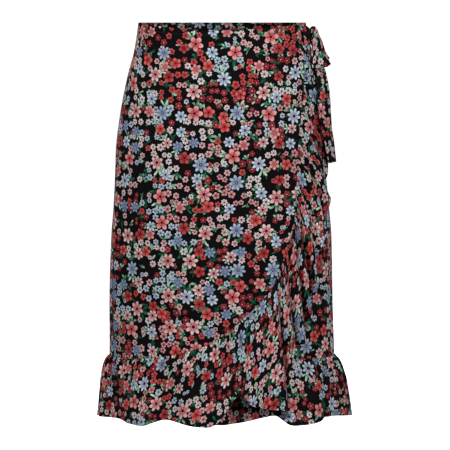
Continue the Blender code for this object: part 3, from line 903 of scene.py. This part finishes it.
def add_knot(name, grid, finishes):
    """The knot's rings between a pole at each end, its cloth coordinates running round and down."""
    rings, sides = grid.shape[:2]
    poles = np.stack((grid[0].mean(axis=0), grid[-1].mean(axis=0)))
    points = np.concatenate((grid.reshape(-1, 3), poles))
    index = np.arange(rings * sides).reshape(rings, sides)
    beside = np.roll(index, -1, axis=1)
    quads = np.stack((index[:-1], beside[:-1], beside[1:], index[1:]), axis=-1).reshape(-1, 4)
    first = np.stack((np.full(sides, rings * sides), beside[0], index[0]), axis=-1)
    last = np.stack((np.full(sides, rings * sides + 1), index[-1], beside[-1]), axis=-1)
    cloth_round, cloth_down = KNOT_CLOTH
    across = np.arange(sides) * cloth_round / sides
    after = across + cloth_round / sides
    level = np.linspace(0, cloth_down, rings)
    ring, column_at = np.divmod(np.arange((rings - 1) * sides), sides)
    u = np.stack((across[column_at], after[column_at], after[column_at], across[column_at]), axis=1)
    v = np.stack((level[ring], level[ring], level[ring + 1], level[ring + 1]), axis=1)
    quad_uv = np.stack((u, -v), axis=-1).reshape(-1, 2)
    first_uv = np.stack((np.stack((across, after, across), axis=1), np.zeros((sides, 3))), axis=-1)
    end = np.full((sides, 3), -cloth_down)
    last_uv = np.stack((np.stack((across, across, after), axis=1), end), axis=-1)
    corner_uv = np.concatenate((quad_uv, first_uv.reshape(-1, 2), last_uv.reshape(-1, 2)))
    faces = quads.tolist() + first.tolist() + last.tolist()
    no_edge = np.full(len(points), NO_EDGE)
    return make_mesh(name, points, faces, corner_uv, no_edge, np.zeros(len(faces)), finishes)


# Finishes


class Value:
    """A number that a node gives. Arithmetic on it adds Math nodes to the same tree."""

    def __init__(self, nodes, socket):
        self.nodes, self.socket = nodes, socket

    def __add__(self, other):
        return self.nodes.math("ADD", self, other)

    def __sub__(self, other):
        return self.nodes.math("SUBTRACT", self, other)

    def __rsub__(self, other):
        return self.nodes.math("SUBTRACT", other, self)

    def __mul__(self, other):
        return self.nodes.math("MULTIPLY", self, other)

    def __truediv__(self, other):
        return self.nodes.math("DIVIDE", self, other)

    def __rtruediv__(self, other):
        return self.nodes.math("DIVIDE", other, self)

    def __pow__(self, other):
        return self.nodes.math("POWER", self, other)

    def __abs__(self):
        return self.nodes.math("ABSOLUTE", self)

    def __lt__(self, other):
        return self.nodes.math("LESS_THAN", self, other)

    def __gt__(self, other):
        return self.nodes.math("GREATER_THAN", self, other)


class Nodes:
    """Short names for a node tree's nodes. An input is a Value, a socket, a number or a tuple."""

    def __init__(self, tree):
        self.tree = tree

    def add(self, kind, *inputs, **settings):
        """A node with its settings, and then its first inputs in order. None leaves one alone."""
        made = self.tree.nodes.new(f"ShaderNode{kind}")
        for name, value in settings.items():
            setattr(made, name, value)
        for place, value in enumerate(inputs):
            self.put(made.inputs[place], value)
        return made

    def put(self, socket, value):
        """Links an input to a value or a socket, or sets it to a number or a tuple."""
        value = value.socket if isinstance(value, Value) else value
        if isinstance(value, bpy.types.NodeSocket):
            self.tree.links.new(value, socket)
        elif value is not None:
            socket.default_value = value

    def math(self, operation, *values):
        """What a Math node gives."""
        return Value(self, self.add("Math", *values, operation=operation).outputs[0])

    def vector(self, operation, a, b=None, scale=None):
        """What a Vector Math node gives: a Value for a length or a distance, else a vector."""
        made = self.add("VectorMath", a, b, None, scale, operation=operation)
        if operation in ("LENGTH", "DISTANCE"):
            return Value(self, made.outputs[1])
        return made.outputs[0]

    def split(self, vector):
        """The three parts of a vector or a colour."""
        return [Value(self, part) for part in self.add("SeparateXYZ", vector).outputs[:3]]

    def join(self, x, y, z=0.0):
        """A vector or a colour of three parts."""
        return self.add("CombineXYZ", x, y, z).outputs[0]

    def mix(self, share, a, b):
        """From colour a, at a share of 0, to colour b, at 1."""
        made = self.add("Mix", share, data_type="RGBA")
        for place, colour in ((6, a), (7, b)):
            self.put(made.inputs[place], (*colour, 1.0) if isinstance(colour, tuple) else colour)
        return made.outputs[2]

    def pick(self, value, *colours):
        """One of the colours, in equal shares of the value from 0 to 1."""
        made = self.add("ValToRGB", value)
        ramp = made.color_ramp
        ramp.interpolation = "CONSTANT"
        while len(ramp.elements) < len(colours):
            ramp.elements.new(0.5)
        for k in range(len(colours)):
            ramp.elements[k].position = k / len(colours)
        for k, colour in enumerate(colours):
            ramp.elements[k].color = (*colour, 1.0)
        return made.outputs[0]

    def step(self, value, start, end):
        """0 below start and 1 above end, with a smooth rise between."""
        made = self.add("MapRange", value, start, end, interpolation_type="SMOOTHSTEP")
        return Value(self, made.outputs[0])

    def cells(self, vector, size, randomness, shift, feature="F1"):
        """Scattered centres, about size mm apart: each place's nearest one and its own colour."""
        made = self.add("TexVoronoi", voronoi_dimensions="2D", feature=feature)
        off = (shift, shift * 0.7, 0.0)
        at = self.vector("SCALE", self.vector("ADD", vector, off), scale=1 / size)
        self.put(made.inputs["Vector"], at)
        made.inputs["Scale"].default_value = 1.0
        made.inputs["Randomness"].default_value = randomness
        if feature == "N_SPHERE_RADIUS":
            return Value(self, made.outputs["Radius"]) * size
        back = self.vector("SCALE", made.outputs["Position"], scale=size)
        return self.vector("SUBTRACT", back, off), made.outputs["Color"]

    def noise(self, vector, size, detail=2.0):
        """Soft noise of spots about size mm wide: a value and a colour."""
        made = self.add("TexNoise", vector)
        made.inputs["Scale"].default_value = 1 / size
        made.inputs["Detail"].default_value = detail
        return Value(self, made.outputs["Fac"]), made.outputs["Color"]

    def cloth_place(self):
        """Millimetres across and up the flat cloth."""
        return self.vector("SCALE", self.add("UVMap", uv_map="cloth").outputs[0], scale=1000.0)


def add_sockets(group, direction, kinds):
    """Adds named inputs or outputs to a node group."""
    for name, kind in kinds.items():
        group.interface.new_socket(name=name, in_out=direction, socket_type=f"NodeSocket{kind}")


# A petal, in shares of the flower's radius
PETAL_MIDDLE = 0.54
PETAL_HALF = 0.46  # half its length
PARTING = 0.92  # how dark the parting between two petals is
STREAK = 0.32  # how strong the streaks at its foot are
STREAKS = 44.0  # and how close
OWN_LIGHT = 0.10  # how much one petal differs from the next
RIM_DARK = 0.08
TIP_LIGHT = 0.14
POLLEN_AT = 1.42  # distance of the dot of pollen from the middle, in centre sizes
POLLEN = 0.75  # how strong the dot is
POLLEN_LIGHT = 1.25  # how much lighter than the petal's tip
# Where each soft edge of a motif starts and ends
PETAL_EDGE = (0.88, 1.08)
HALO_EDGE = (1.2, 1.4)
PARTING_EDGE = (0.40, 0.48)
TIP_BLEND = (0.18, 0.78)
STREAK_FADE = (0.35, 0.8)
RIM_EDGE = (0.72, 1.0)
TIP_EDGE = (0.66, 0.98)
CENTRE_EDGE = (0.88, 1.12)
CORE_EDGE = (0.4, 0.6)
POLLEN_EDGE = (0.22, 0.36)


def motif_group():
    """One flower or one spray of leaves, drawn round a centre, with a dot of pollen on each petal.

    With a = the angle, n petals and s = fract(a n / 2 pi + 1/2) - 1/2, a place lies
    x = r cos(2 pi s / n) / R along its petal and y = r sin(2 pi s / n) / R beside it. The petal is
    ((x - PETAL_MIDDLE) / PETAL_HALF)^2 + (y / w)^2 < 1.
    """
    group = bpy.data.node_groups.new("motif", "ShaderNodeTree")
    numbers = ("Radius", "Turn", "Petals", "Width", "Spread", "Centre Size")
    add_sockets(group, "INPUT", {"Offset": "Vector", **dict.fromkeys(numbers, "Float")})
    add_sockets(group, "INPUT", dict.fromkeys(("Tip", "Inner", "Centre", "Core"), "Color"))
    add_sockets(group, "OUTPUT", {"Mask": "Float", "Halo": "Float", "Colour": "Color"})
    n = Nodes(group)
    given = group.nodes.new("NodeGroupInput").outputs
    radius, turn, petals, half_width, spread, size = (Value(n, given[name]) for name in numbers)

    x, y, _ = n.split(given["Offset"])
    distance = n.vector("LENGTH", given["Offset"]) / radius
    wrapped = n.math("WRAP", n.math("ARCTAN2", y, x) + turn, math.pi, -math.pi)
    in_petals = wrapped * (petals / (2 * math.pi))
    from_middle = n.math("FRACT", in_petals + 0.5) - 0.5
    number = in_petals - from_middle
    slant = from_middle * (2 * math.pi / petals)
    along_it = distance * n.math("COSINE", slant)
    beside_it = distance * n.math("SINE", slant)
    lengthwise = (along_it - PETAL_MIDDLE) / PETAL_HALF
    edge = lengthwise * lengthwise + (abs(beside_it) / half_width) ** 2.0
    edge = edge + n.step(abs(wrapped), spread, spread + 0.05) * 9.0
    petal = 1.0 - n.step(edge, *PETAL_EDGE)
    petal = petal * (1.0 - n.step(abs(from_middle), *PARTING_EDGE) * PARTING)

    colour = n.mix(n.step(along_it, *TIP_BLEND), given["Inner"], given["Tip"])
    streak = n.math("SINE", beside_it * STREAKS) * (1.0 - n.step(along_it, *STREAK_FADE))
    light = streak * STREAK + n.math("SINE", number * 5.3) * OWN_LIGHT + 1.0
    light = light - n.step(edge, *RIM_EDGE) * RIM_DARK
    light = light + n.step(along_it, *TIP_EDGE) * TIP_LIGHT
    colour = n.vector("SCALE", colour, scale=light)
    from_centre = distance / size
    disc = 1.0 - n.step(from_centre, *CENTRE_EDGE)
    colour = n.mix(disc, colour, given["Centre"])
    colour = n.mix(1.0 - n.step(from_centre, *CORE_EDGE), colour, given["Core"])
    from_dot = n.vector("LENGTH", n.join(along_it - size * POLLEN_AT, beside_it))
    dot = 1.0 - n.step(from_dot / size, *POLLEN_EDGE)
    pale = n.vector("SCALE", given["Tip"], scale=POLLEN_LIGHT)
    colour = n.mix(dot * POLLEN, colour, pale)

    out = group.nodes.new("NodeGroupOutput").inputs
    n.put(out["Mask"], n.math("MAXIMUM", petal, disc))
    n.put(out["Halo"], n.math("MAXIMUM", 1.0 - n.step(edge, *HALO_EDGE), disc))
    n.put(out["Colour"], colour)
    return group


# The print's flowers: how many petals, half a petal's width and the centre's size in shares of the
# radius, then the colours of tip, inner petal, centre and core.
GROUND = (0.0036, 0.0028, 0.0034)


def flower_kinds(*rows):
    """Kinds of a flower, with their colours brought from thousandths to shares."""
    return tuple(
        (*row[:3], *(tuple(part / 1000 for part in colour) for colour in row[3:])) for row in rows
    )


LARGE = flower_kinds(
    (8, 0.2, 0.22, (500, 570, 660), (190, 260, 390), (160, 12, 20), (50, 6, 10)),
    (7, 0.235, 0.2, (680, 480, 470), (420, 60, 70), (100, 6, 12), (30, 4, 8)),
    (5, 0.33, 0.17, (640, 300, 290), (440, 35, 42), (60, 4, 8), (20, 2, 4)),
    (8, 0.21, 0.22, (360, 430, 550), (100, 140, 260), (30, 30, 60), (300, 260, 280)),
    (7, 0.24, 0.2, (660, 420, 410), (420, 50, 60), (90, 6, 12), (30, 4, 8)),
)
MEDIUM = flower_kinds(
    (5, 0.39, 0.17, (600, 115, 105), (360, 18, 22), (50, 4, 8), (20, 2, 4)),
    (7, 0.24, 0.21, (230, 300, 440), (60, 90, 190), (360, 360, 420), (60, 20, 30)),
    (6, 0.3, 0.19, (640, 300, 290), (400, 40, 48), (120, 8, 14), (600, 400, 380)),
    (7, 0.25, 0.22, (500, 570, 650), (200, 260, 390), (30, 30, 60), (50, 50, 80)),
    (7, 0.245, 0.21, (680, 500, 490), (420, 70, 80), (80, 5, 10), (30, 4, 8)),
    (5, 0.38, 0.18, (420, 60, 62), (220, 14, 18), (40, 3, 6), (20, 2, 4)),
)
SMALL = flower_kinds(
    (6, 0.35, 0.27, (660, 600, 600), (460, 380, 390), (30, 25, 40), (15, 12, 20)),
    (5, 0.42, 0.16, (320, 36, 42), (150, 10, 14), (620, 500, 480), (620, 500, 480)),
    (5, 0.42, 0.25, (600, 310, 310), (330, 50, 60), (60, 4, 10), (20, 3, 6)),
    (7, 0.3, 0.25, (680, 570, 570), (500, 260, 270), (100, 8, 14), (30, 4, 8)),
    (5, 0.42, 0.18, (500, 78, 74), (280, 16, 20), (50, 4, 8), (20, 3, 6)),
    (6, 0.33, 0.25, (460, 530, 610), (200, 250, 360), (20, 20, 50), (10, 10, 20)),
    (6, 0.34, 0.23, (650, 440, 430), (420, 85, 92), (80, 6, 12), (20, 3, 6)),
    (5, 0.42, 0.16, (260, 26, 32), (120, 8, 12), (580, 460, 440), (580, 460, 440)),
)
# The leaves' greens, and their sprays, whose petals are leaves.
LEAF = (
    (0.006, 0.058, 0.030),
    (0.012, 0.12, 0.060),
    (0.46, 0.62, 0.49),
    (0.24, 0.42, 0.30),
    (0.015, 0.15, 0.075),
)
LEAF_KINDS = tuple(
    (count, width, 0.05, tip, inner, tip, tip)
    for count, width, tip, inner in (
        (7, 0.155, LEAF[2], LEAF[3]),
        (6, 0.17, LEAF[1], LEAF[0]),
        (8, 0.135, LEAF[2], LEAF[4]),
        (6, 0.165, LEAF[4], LEAF[0]),
        (7, 0.15, LEAF[3], LEAF[1]),
    )
)
WHOLE = 3.3  # spread of a whole flower: more than half a turn to each side
LEAF_SPREAD = 1.0  # spread of the leaves beside a flower, radians to each side

# How motifs are scattered: spacing in mm, unevenness, and a shift of the whole pattern.
LARGE_CELLS = (55.0, 0.6, 0.0)
MEDIUM_CELLS = (24.0, 0.6, 310.0)
SMALL_CELLS = (12.0, 0.6, 670.0)
SPRIG_CELLS = (15.5, 0.8, 930.0)
PATCH_CELLS = (36.0, 0.9, 120.0)  # patches of small flowers of one kind
# Their radii in mm: what a centre's random number adds, and the least.
LARGE_SIZE = (1.5, 11.0)
MEDIUM_SIZE = (2.0, 8.0)
SMALL_SIZE = (1.7, 4.8)
SPRIG_SIZE = (4.5, 9.0)
SPRIG_SPREAD = (1.1, 0.5)  # radians
SMALL_ROOM = 1.05  # the most a small flower takes of the room round its centre
# Least distances in mm from the centre of a larger flower.
MEDIUM_FROM_LARGE = 19.0
SMALL_FROM_LARGE = 12.6
SMALL_FROM_MEDIUM = 9.2
# Shares of the centres that have a motif.
MEDIUM_SHARE = 0.7
SMALL_SHARE = 0.85
SPRIG_SHARE = 0.72
MEDIUM_LEAF_SHARE = 0.65
OWN_KIND_SHARE = 0.25  # small flowers that aren't of their patch's kind
# Leaves beside a flower: how far from its centre they start, and their length, in mm.
MEDIUM_LEAF = (5.5, 9.5)
LARGE_LEAF = (8.5, 13.5)


def scaled(value, more, least):
    """From the least, at a value of 0, to that and more, at 1."""
    return value * more + least


def draw_motifs(n, motif, place, below, centre, random, kinds, radius, present, spread):
    """Paints one motif of the kinds at each centre over what is below it, in a dark halo."""
    first, second, _ = n.split(random)
    made = n.add("Group", node_tree=motif)
    inputs = made.inputs
    n.put(inputs["Offset"], n.vector("SUBTRACT", place, centre))
    n.put(inputs["Radius"], radius)
    n.put(inputs["Turn"], second * (2 * math.pi))
    n.put(inputs["Spread"], spread)
    for k, name in enumerate(("Petals", "Width", "Centre Size")):
        tenth = n.pick(first, *((kind[k] / 10.0,) * 3 for kind in kinds))
        n.put(inputs[name], n.math("MULTIPLY", tenth, 10.0))
    for k, name in enumerate(("Tip", "Inner", "Centre", "Core"), start=3):
        n.put(inputs[name], n.pick(first, *(kind[k] for kind in kinds)))
    halo = n.math("MULTIPLY", made.outputs["Halo"], present)
    mask = n.math("MULTIPLY", made.outputs["Mask"], present)
    return n.mix(mask, n.mix(halo, below, GROUND), made.outputs["Colour"])


def print_group(motif):
    """The whole print: leaf sprays, then small, medium and large flowers, in the order of paint."""
    group = bpy.data.node_groups.new("print", "ShaderNodeTree")
    add_sockets(group, "OUTPUT", {"Colour": "Color"})
    n = Nodes(group)
    place = n.cloth_place()
    _, wobble = n.noise(place, 5.0)
    wobble = n.vector("SCALE", n.vector("SUBTRACT", wobble, (0.5, 0.5, 0.5)), scale=1.5)
    place = n.vector("MULTIPLY", n.vector("ADD", place, wobble), (1.0, 1.0, 0.0))

    large, large_random = n.cells(place, *LARGE_CELLS)
    medium, medium_random = n.cells(place, *MEDIUM_CELLS)
    small, small_random = n.cells(place, *SMALL_CELLS)
    sprig, sprig_random = n.cells(place, *SPRIG_CELLS)
    small_room = n.cells(place, *SMALL_CELLS, "N_SPHERE_RADIUS")

    def medium_at(centre, random):
        """1 where a medium centre has its flower, clear of the large ones."""
        near_large, _ = n.cells(centre, *LARGE_CELLS)
        apart = n.vector("DISTANCE", centre, near_large) > MEDIUM_FROM_LARGE
        return apart * (n.split(random)[2] < MEDIUM_SHARE)

    medium_here = medium_at(medium, medium_random)
    near_large, _ = n.cells(small, *LARGE_CELLS)
    small_here = n.vector("DISTANCE", small, near_large) > SMALL_FROM_LARGE
    near_medium, random_of_it = n.cells(small, *MEDIUM_CELLS)
    close = n.vector("DISTANCE", small, near_medium) < SMALL_FROM_MEDIUM
    small_here = small_here * (1.0 - medium_at(near_medium, random_of_it) * close)
    _, own_turn, own_third = n.split(small_random)
    small_here = small_here * (own_third < SMALL_SHARE)
    _, patch = n.cells(small, *PATCH_CELLS)
    kind = n.mix(own_turn < OWN_KIND_SHARE, patch, small_random)
    small_random = n.join(n.split(kind)[0], own_turn, own_third)

    share = n.split(sprig_random)[2]
    size, spread = scaled(share, *SPRIG_SIZE), scaled(share, *SPRIG_SPREAD)
    layers = [(sprig, sprig_random, LEAF_KINDS, size, share < SPRIG_SHARE, spread)]
    medium_leaf = medium_here * (n.split(medium_random)[1] < MEDIUM_LEAF_SHARE)
    for centre, random, (out, length), here in (
        (medium, medium_random, MEDIUM_LEAF, medium_leaf),
        (large, large_random, LARGE_LEAF, 1.0),
    ):
        first, second, third = n.split(random)
        turn = second * (2 * math.pi)
        way = n.join(n.math("COSINE", turn), n.math("SINE", turn) * -1.0)
        base = n.vector("ADD", centre, n.vector("SCALE", way, scale=out))
        layers.append((base, n.join(third, second, first), LEAF_KINDS, length, here, LEAF_SPREAD))
    small_size = scaled(own_third, *SMALL_SIZE)
    small_size = n.math("MINIMUM", small_size, small_room * SMALL_ROOM)
    medium_size = scaled(n.split(medium_random)[2], *MEDIUM_SIZE)
    large_size = scaled(n.split(large_random)[2], *LARGE_SIZE)
    layers.append((small, small_random, SMALL, small_size, small_here, WHOLE))
    layers.append((medium, medium_random, MEDIUM, medium_size, medium_here, WHOLE))
    layers.append((large, large_random, LARGE, large_size, 1.0, WHOLE))
    colour = GROUND
    for layer in layers:
        colour = draw_motifs(n, motif, place, colour, *layer)
    n.put(group.nodes.new("NodeGroupOutput").inputs[0], colour)
    return group


TURNED_IN_PAINTED_SHADE = 0.59  # strength of the print on the inside of a turned edge, which shows the right side: kept below full as painted shade of the skirt's inside
CLOUD = (0.16, 0.86)  # slow changes of tone: how much, and the least
FLECK = 0.30  # changes of tone from thread to thread
STITCH = 2.6  # length of a stitch and its gap
STITCH_SHARE = 0.72  # of it that is thread
STITCH_IN = 1.2  # from the hem's inner edge to its stitched line
THREAD = (0.020, 0.018, 0.022)
THREAD_EDGE = (0.22, 0.42)
DENT_EDGE = (0.3, 1.1)  # of the dent that the stitches pull in the cloth
WEAVE = 0.42  # distance from thread to thread


def cloth_finish(name, painted, strength, grey):
    """Printed cloth: the print times strength, part of it grey, with a weave and stitches.

    Where the edge is turned and shows its right side, the strength rises to that set for a turned
    edge, which is kept below full as painted shade of the skirt's inside.
    """
    finish = bpy.data.materials.new(name)
    finish.use_nodes = True
    n = Nodes(finish.node_tree)
    shader = n.tree.nodes["Principled BSDF"].inputs
    colour = n.add("Group", node_tree=painted).outputs[0]
    place = n.cloth_place()
    cloud, _ = n.noise(place, 60.0, 3.0)
    fleck, _ = n.noise(place, 0.9, 1.0)
    from_edge = Value(n, n.add("Attribute", attribute_name="from_edge").outputs["Fac"])
    turned = from_edge < HEM_WIDTH
    light = scaled(cloud, *CLOUD) + (fleck - 0.5) * FLECK
    # On the inside the print is darkened to the finish's strength, and on a turned edge a little
    # less: painted shade of the skirt's inside.
    light = light * scaled(turned, max(TURNED_IN_PAINTED_SHADE - strength, 0.0), strength)
    plain = n.add("RGBToBW", colour).outputs[0]
    colour = n.mix((1.0 - turned) * grey, colour, n.join(plain, plain, plain))
    colour = n.vector("SCALE", colour, scale=light)

    x, y, _ = n.split(place)
    off_line = abs(from_edge - (HEM_WIDTH - STITCH_IN))
    dash = n.math("FRACT", x / STITCH) < STITCH_SHARE
    stitch = (1.0 - n.step(off_line, *THREAD_EDGE)) * dash
    n.put(shader["Base Color"], n.mix(stitch * 0.85, colour, THREAD))

    warp, weft = (n.math("SINE", at * (2 * math.pi / WEAVE)) for at in (x, y))
    height = warp * weft * 0.35 + fleck * 0.8
    height = height - (1.0 - n.step(off_line, *DENT_EDGE)) * 2.6 + stitch * 1.4
    bump = n.add("Bump")
    bump.inputs["Strength"].default_value = 0.5
    bump.inputs["Distance"].default_value = 0.00008
    n.put(bump.inputs["Height"], height)
    n.put(shader["Normal"], bump.outputs[0])
    shader["Roughness"].default_value = 0.82
    shader["Specular IOR Level"].default_value = 0.06
    shader["Sheen Weight"].default_value = 0.01
    shader["Sheen Roughness"].default_value = 0.5
    return finish


PAINTED = print_group(motif_group())
RIGHT_SIDE = cloth_finish("printed cloth", PAINTED, 1.0, 0.0)
# The inside: the print a little greyed, as the wrong side is duller, and darkened to 0.42 strength
# as painted shade of the skirt's inside.
WRONG_SIDE_IN_PAINTED_SHADE = cloth_finish("printed cloth inside", PAINTED, 0.42, 0.3)


# The pieces

# Where each one is cut from the printed cloth
CUT_AT = {
    "back_panel": (900.0, 0.0),
    "front_underlap": (1700.0, -260.0),
    "front_overlap": (0.0, 0.0),
    "back_hem_ruffle": (2300.0, 120.0),
    "underlap_hem_ruffle": (3300.0, 410.0),
    "overlap_edge_ruffle": (4300.0, 700.0),
    "overlap_hem_ruffle": (4300.0, 700.0),
    "tie_front_strap": (5400.0, 30.0),
    "tie_back_strap": (5500.0, 90.0),
    "tie_front_loop": (5600.0, 200.0),
    "tie_back_loop": (5700.0, 300.0),
    "tie_front_tail": (5800.0, 400.0),
    "tie_back_tail": (5900.0, 500.0),
}


def add_piece(name, slot, held, grid, uv, from_edge=NO_EDGE):
    """One piece of cloth: its cloth coordinates moved to where it is cut from the print, with its
    finishes and its hem's thickness.
    """
    uv = uv + CUT_AT[name]
    finishes = (RIGHT_SIDE, RIGHT_SIDE if held == "folded" else WRONG_SIDE_IN_PAINTED_SHADE)
    piece = add_cloth(name, grid, uv, finishes, hem_thickness(from_edge), from_edge)


def build_pieces():
    """All pieces, with each one's count of columns and rows."""
    panels = {
        "back_panel": back_panel(200, 170),
        "front_underlap": front_underlap(150, 150),
        "front_overlap": front_overlap(190, 220),
    }
    ruffles = {
        "back_hem_ruffle": hem_ruffle(BACK_RUFFLE, back_turns(420, 480), 48),
        "underlap_hem_ruffle": hem_ruffle(UNDERLAP_RUFFLE, underlap_turns(330, 400), 48),
        "overlap_edge_ruffle": overlap_ruffle(400, 56, 0, RUFFLE_JOIN - 0.02),
        "overlap_hem_ruffle": overlap_ruffle(420, 60, RUFFLE_JOIN + 0.02, STATIONS),
    }
    ribbons = {
        "tie_front_strap": strap(FRONT_STRAP, 48, 60),
        "tie_back_strap": strap(BACK_STRAP, 48, 60),
        "tie_front_loop": loop(160, 40, 1, 1.0),
        "tie_back_loop": loop(160, 40, -1, BACK_LOOP_SIZE),
        "tie_front_tail": tail(FRONT_TAIL, 160, 44, 1.4),
        "tie_back_tail": tail(BACK_TAIL, 140, 44, 1.2),
    }
    for pieces, slot, held in (
        (panels, "printed_cloth", "draped"),
        (ruffles, "printed_cloth_ruffle", "gathered"),
        (ribbons, "printed_cloth_tie", "folded"),
    ):
        for name, made in pieces.items():
            add_piece(name, slot, held, *made)
    piece = add_knot("tie_knot", knot(64, 96), (RIGHT_SIDE,))


build_pieces()


# The set, the light and the camera


def plain_finish(name, colour, glow):
    """A matt colour, with some light of its own."""
    finish = bpy.data.materials.new(name)
    finish.use_nodes = True
    shader = finish.node_tree.nodes["Principled BSDF"]
    shader.inputs["Base Color"].default_value = (*colour, 1.0)
    shader.inputs["Roughness"].default_value = 0.9
    shader.inputs["Specular IOR Level"].default_value = 0.0
    shader.inputs["Emission Color"].default_value = (1.0, 1.0, 1.0, 1.0)
    shader.inputs["Emission Strength"].default_value = glow
    return finish


def add_floor(level, radius):
    """A pale disc under everything, out to the horizon. It throws no light on the cloth."""
    angle = np.linspace(0, 2 * math.pi, 96, endpoint=False)
    points = (radius * np.cos(angle), radius * np.sin(angle), np.full_like(angle, level))
    mesh = bpy.data.meshes.new("floor")
    mesh.from_pydata(np.stack(points, axis=-1).tolist(), [], [list(range(len(angle)))])
    mesh.materials.append(plain_finish("pale floor", (0.86, 0.86, 0.86), 0.95))
    floor = bpy.data.objects.new("floor", mesh)
    bpy.context.scene.collection.objects.link(floor)
    floor.visible_diffuse = False
    floor.visible_glossy = False


def aimed(name, data, place, aim):
    """A light or a camera at a place, facing its aim."""
    made = bpy.data.objects.new(name, data)
    made.location = place
    made.rotation_euler = (Vector(aim) - Vector(place)).to_track_quat("-Z", "Y").to_euler()
    bpy.context.scene.collection.objects.link(made)
    return made


def add_light(name, place, size, power):
    """A square soft light that faces the middle of the skirt."""
    data = bpy.data.lights.new(name, "AREA")
    data.size, data.energy = size, power
    aimed(name, data, place, (0, 0, MIDDLE))


def add_world(seen, lit):
    """A white room: as bright as seen to the camera, and giving the light lit."""
    world = bpy.data.worlds.new("studio")
    world.use_nodes = True
    bpy.context.scene.world = world
    n = Nodes(world.node_tree)
    to_camera = Value(n, n.add("LightPath").outputs["Is Camera Ray"])
    background = n.tree.nodes["Background"].inputs
    background["Color"].default_value = (1.0, 1.0, 1.0, 1.0)
    n.put(background["Strength"], scaled(to_camera, seen - lit, lit))


DISTANCE = 4.2  # of the camera, in metres as all that follows
ACROSS = 0.00465  # how far it is off centre front
MIDDLE = -0.3131  # height of the middle of the picture
PICTURE = 0.6975  # width of what the picture shows, at the skirt

add_floor(-0.9, 60.0)
add_world(1.2, 0.17)
add_light("key", (-2.0, -2.3, 2.3), 1.2, 119)
add_light("fill", (2.7, -2.4, 0.9), 1.6, 88)
add_light("back", (0.6, 3.0, 1.6), 1.6, 60)

lens = bpy.data.cameras.new("camera")
lens.sensor_width = 36.0
lens.lens = lens.sensor_width * math.hypot(DISTANCE, MIDDLE) / PICTURE
camera = aimed("camera", lens, (ACROSS, -DISTANCE, 0.0), (ACROSS, 0.0, MIDDLE))
bpy.context.scene.camera = camera
bpy.context.scene.view_settings.view_transform = "Standard"
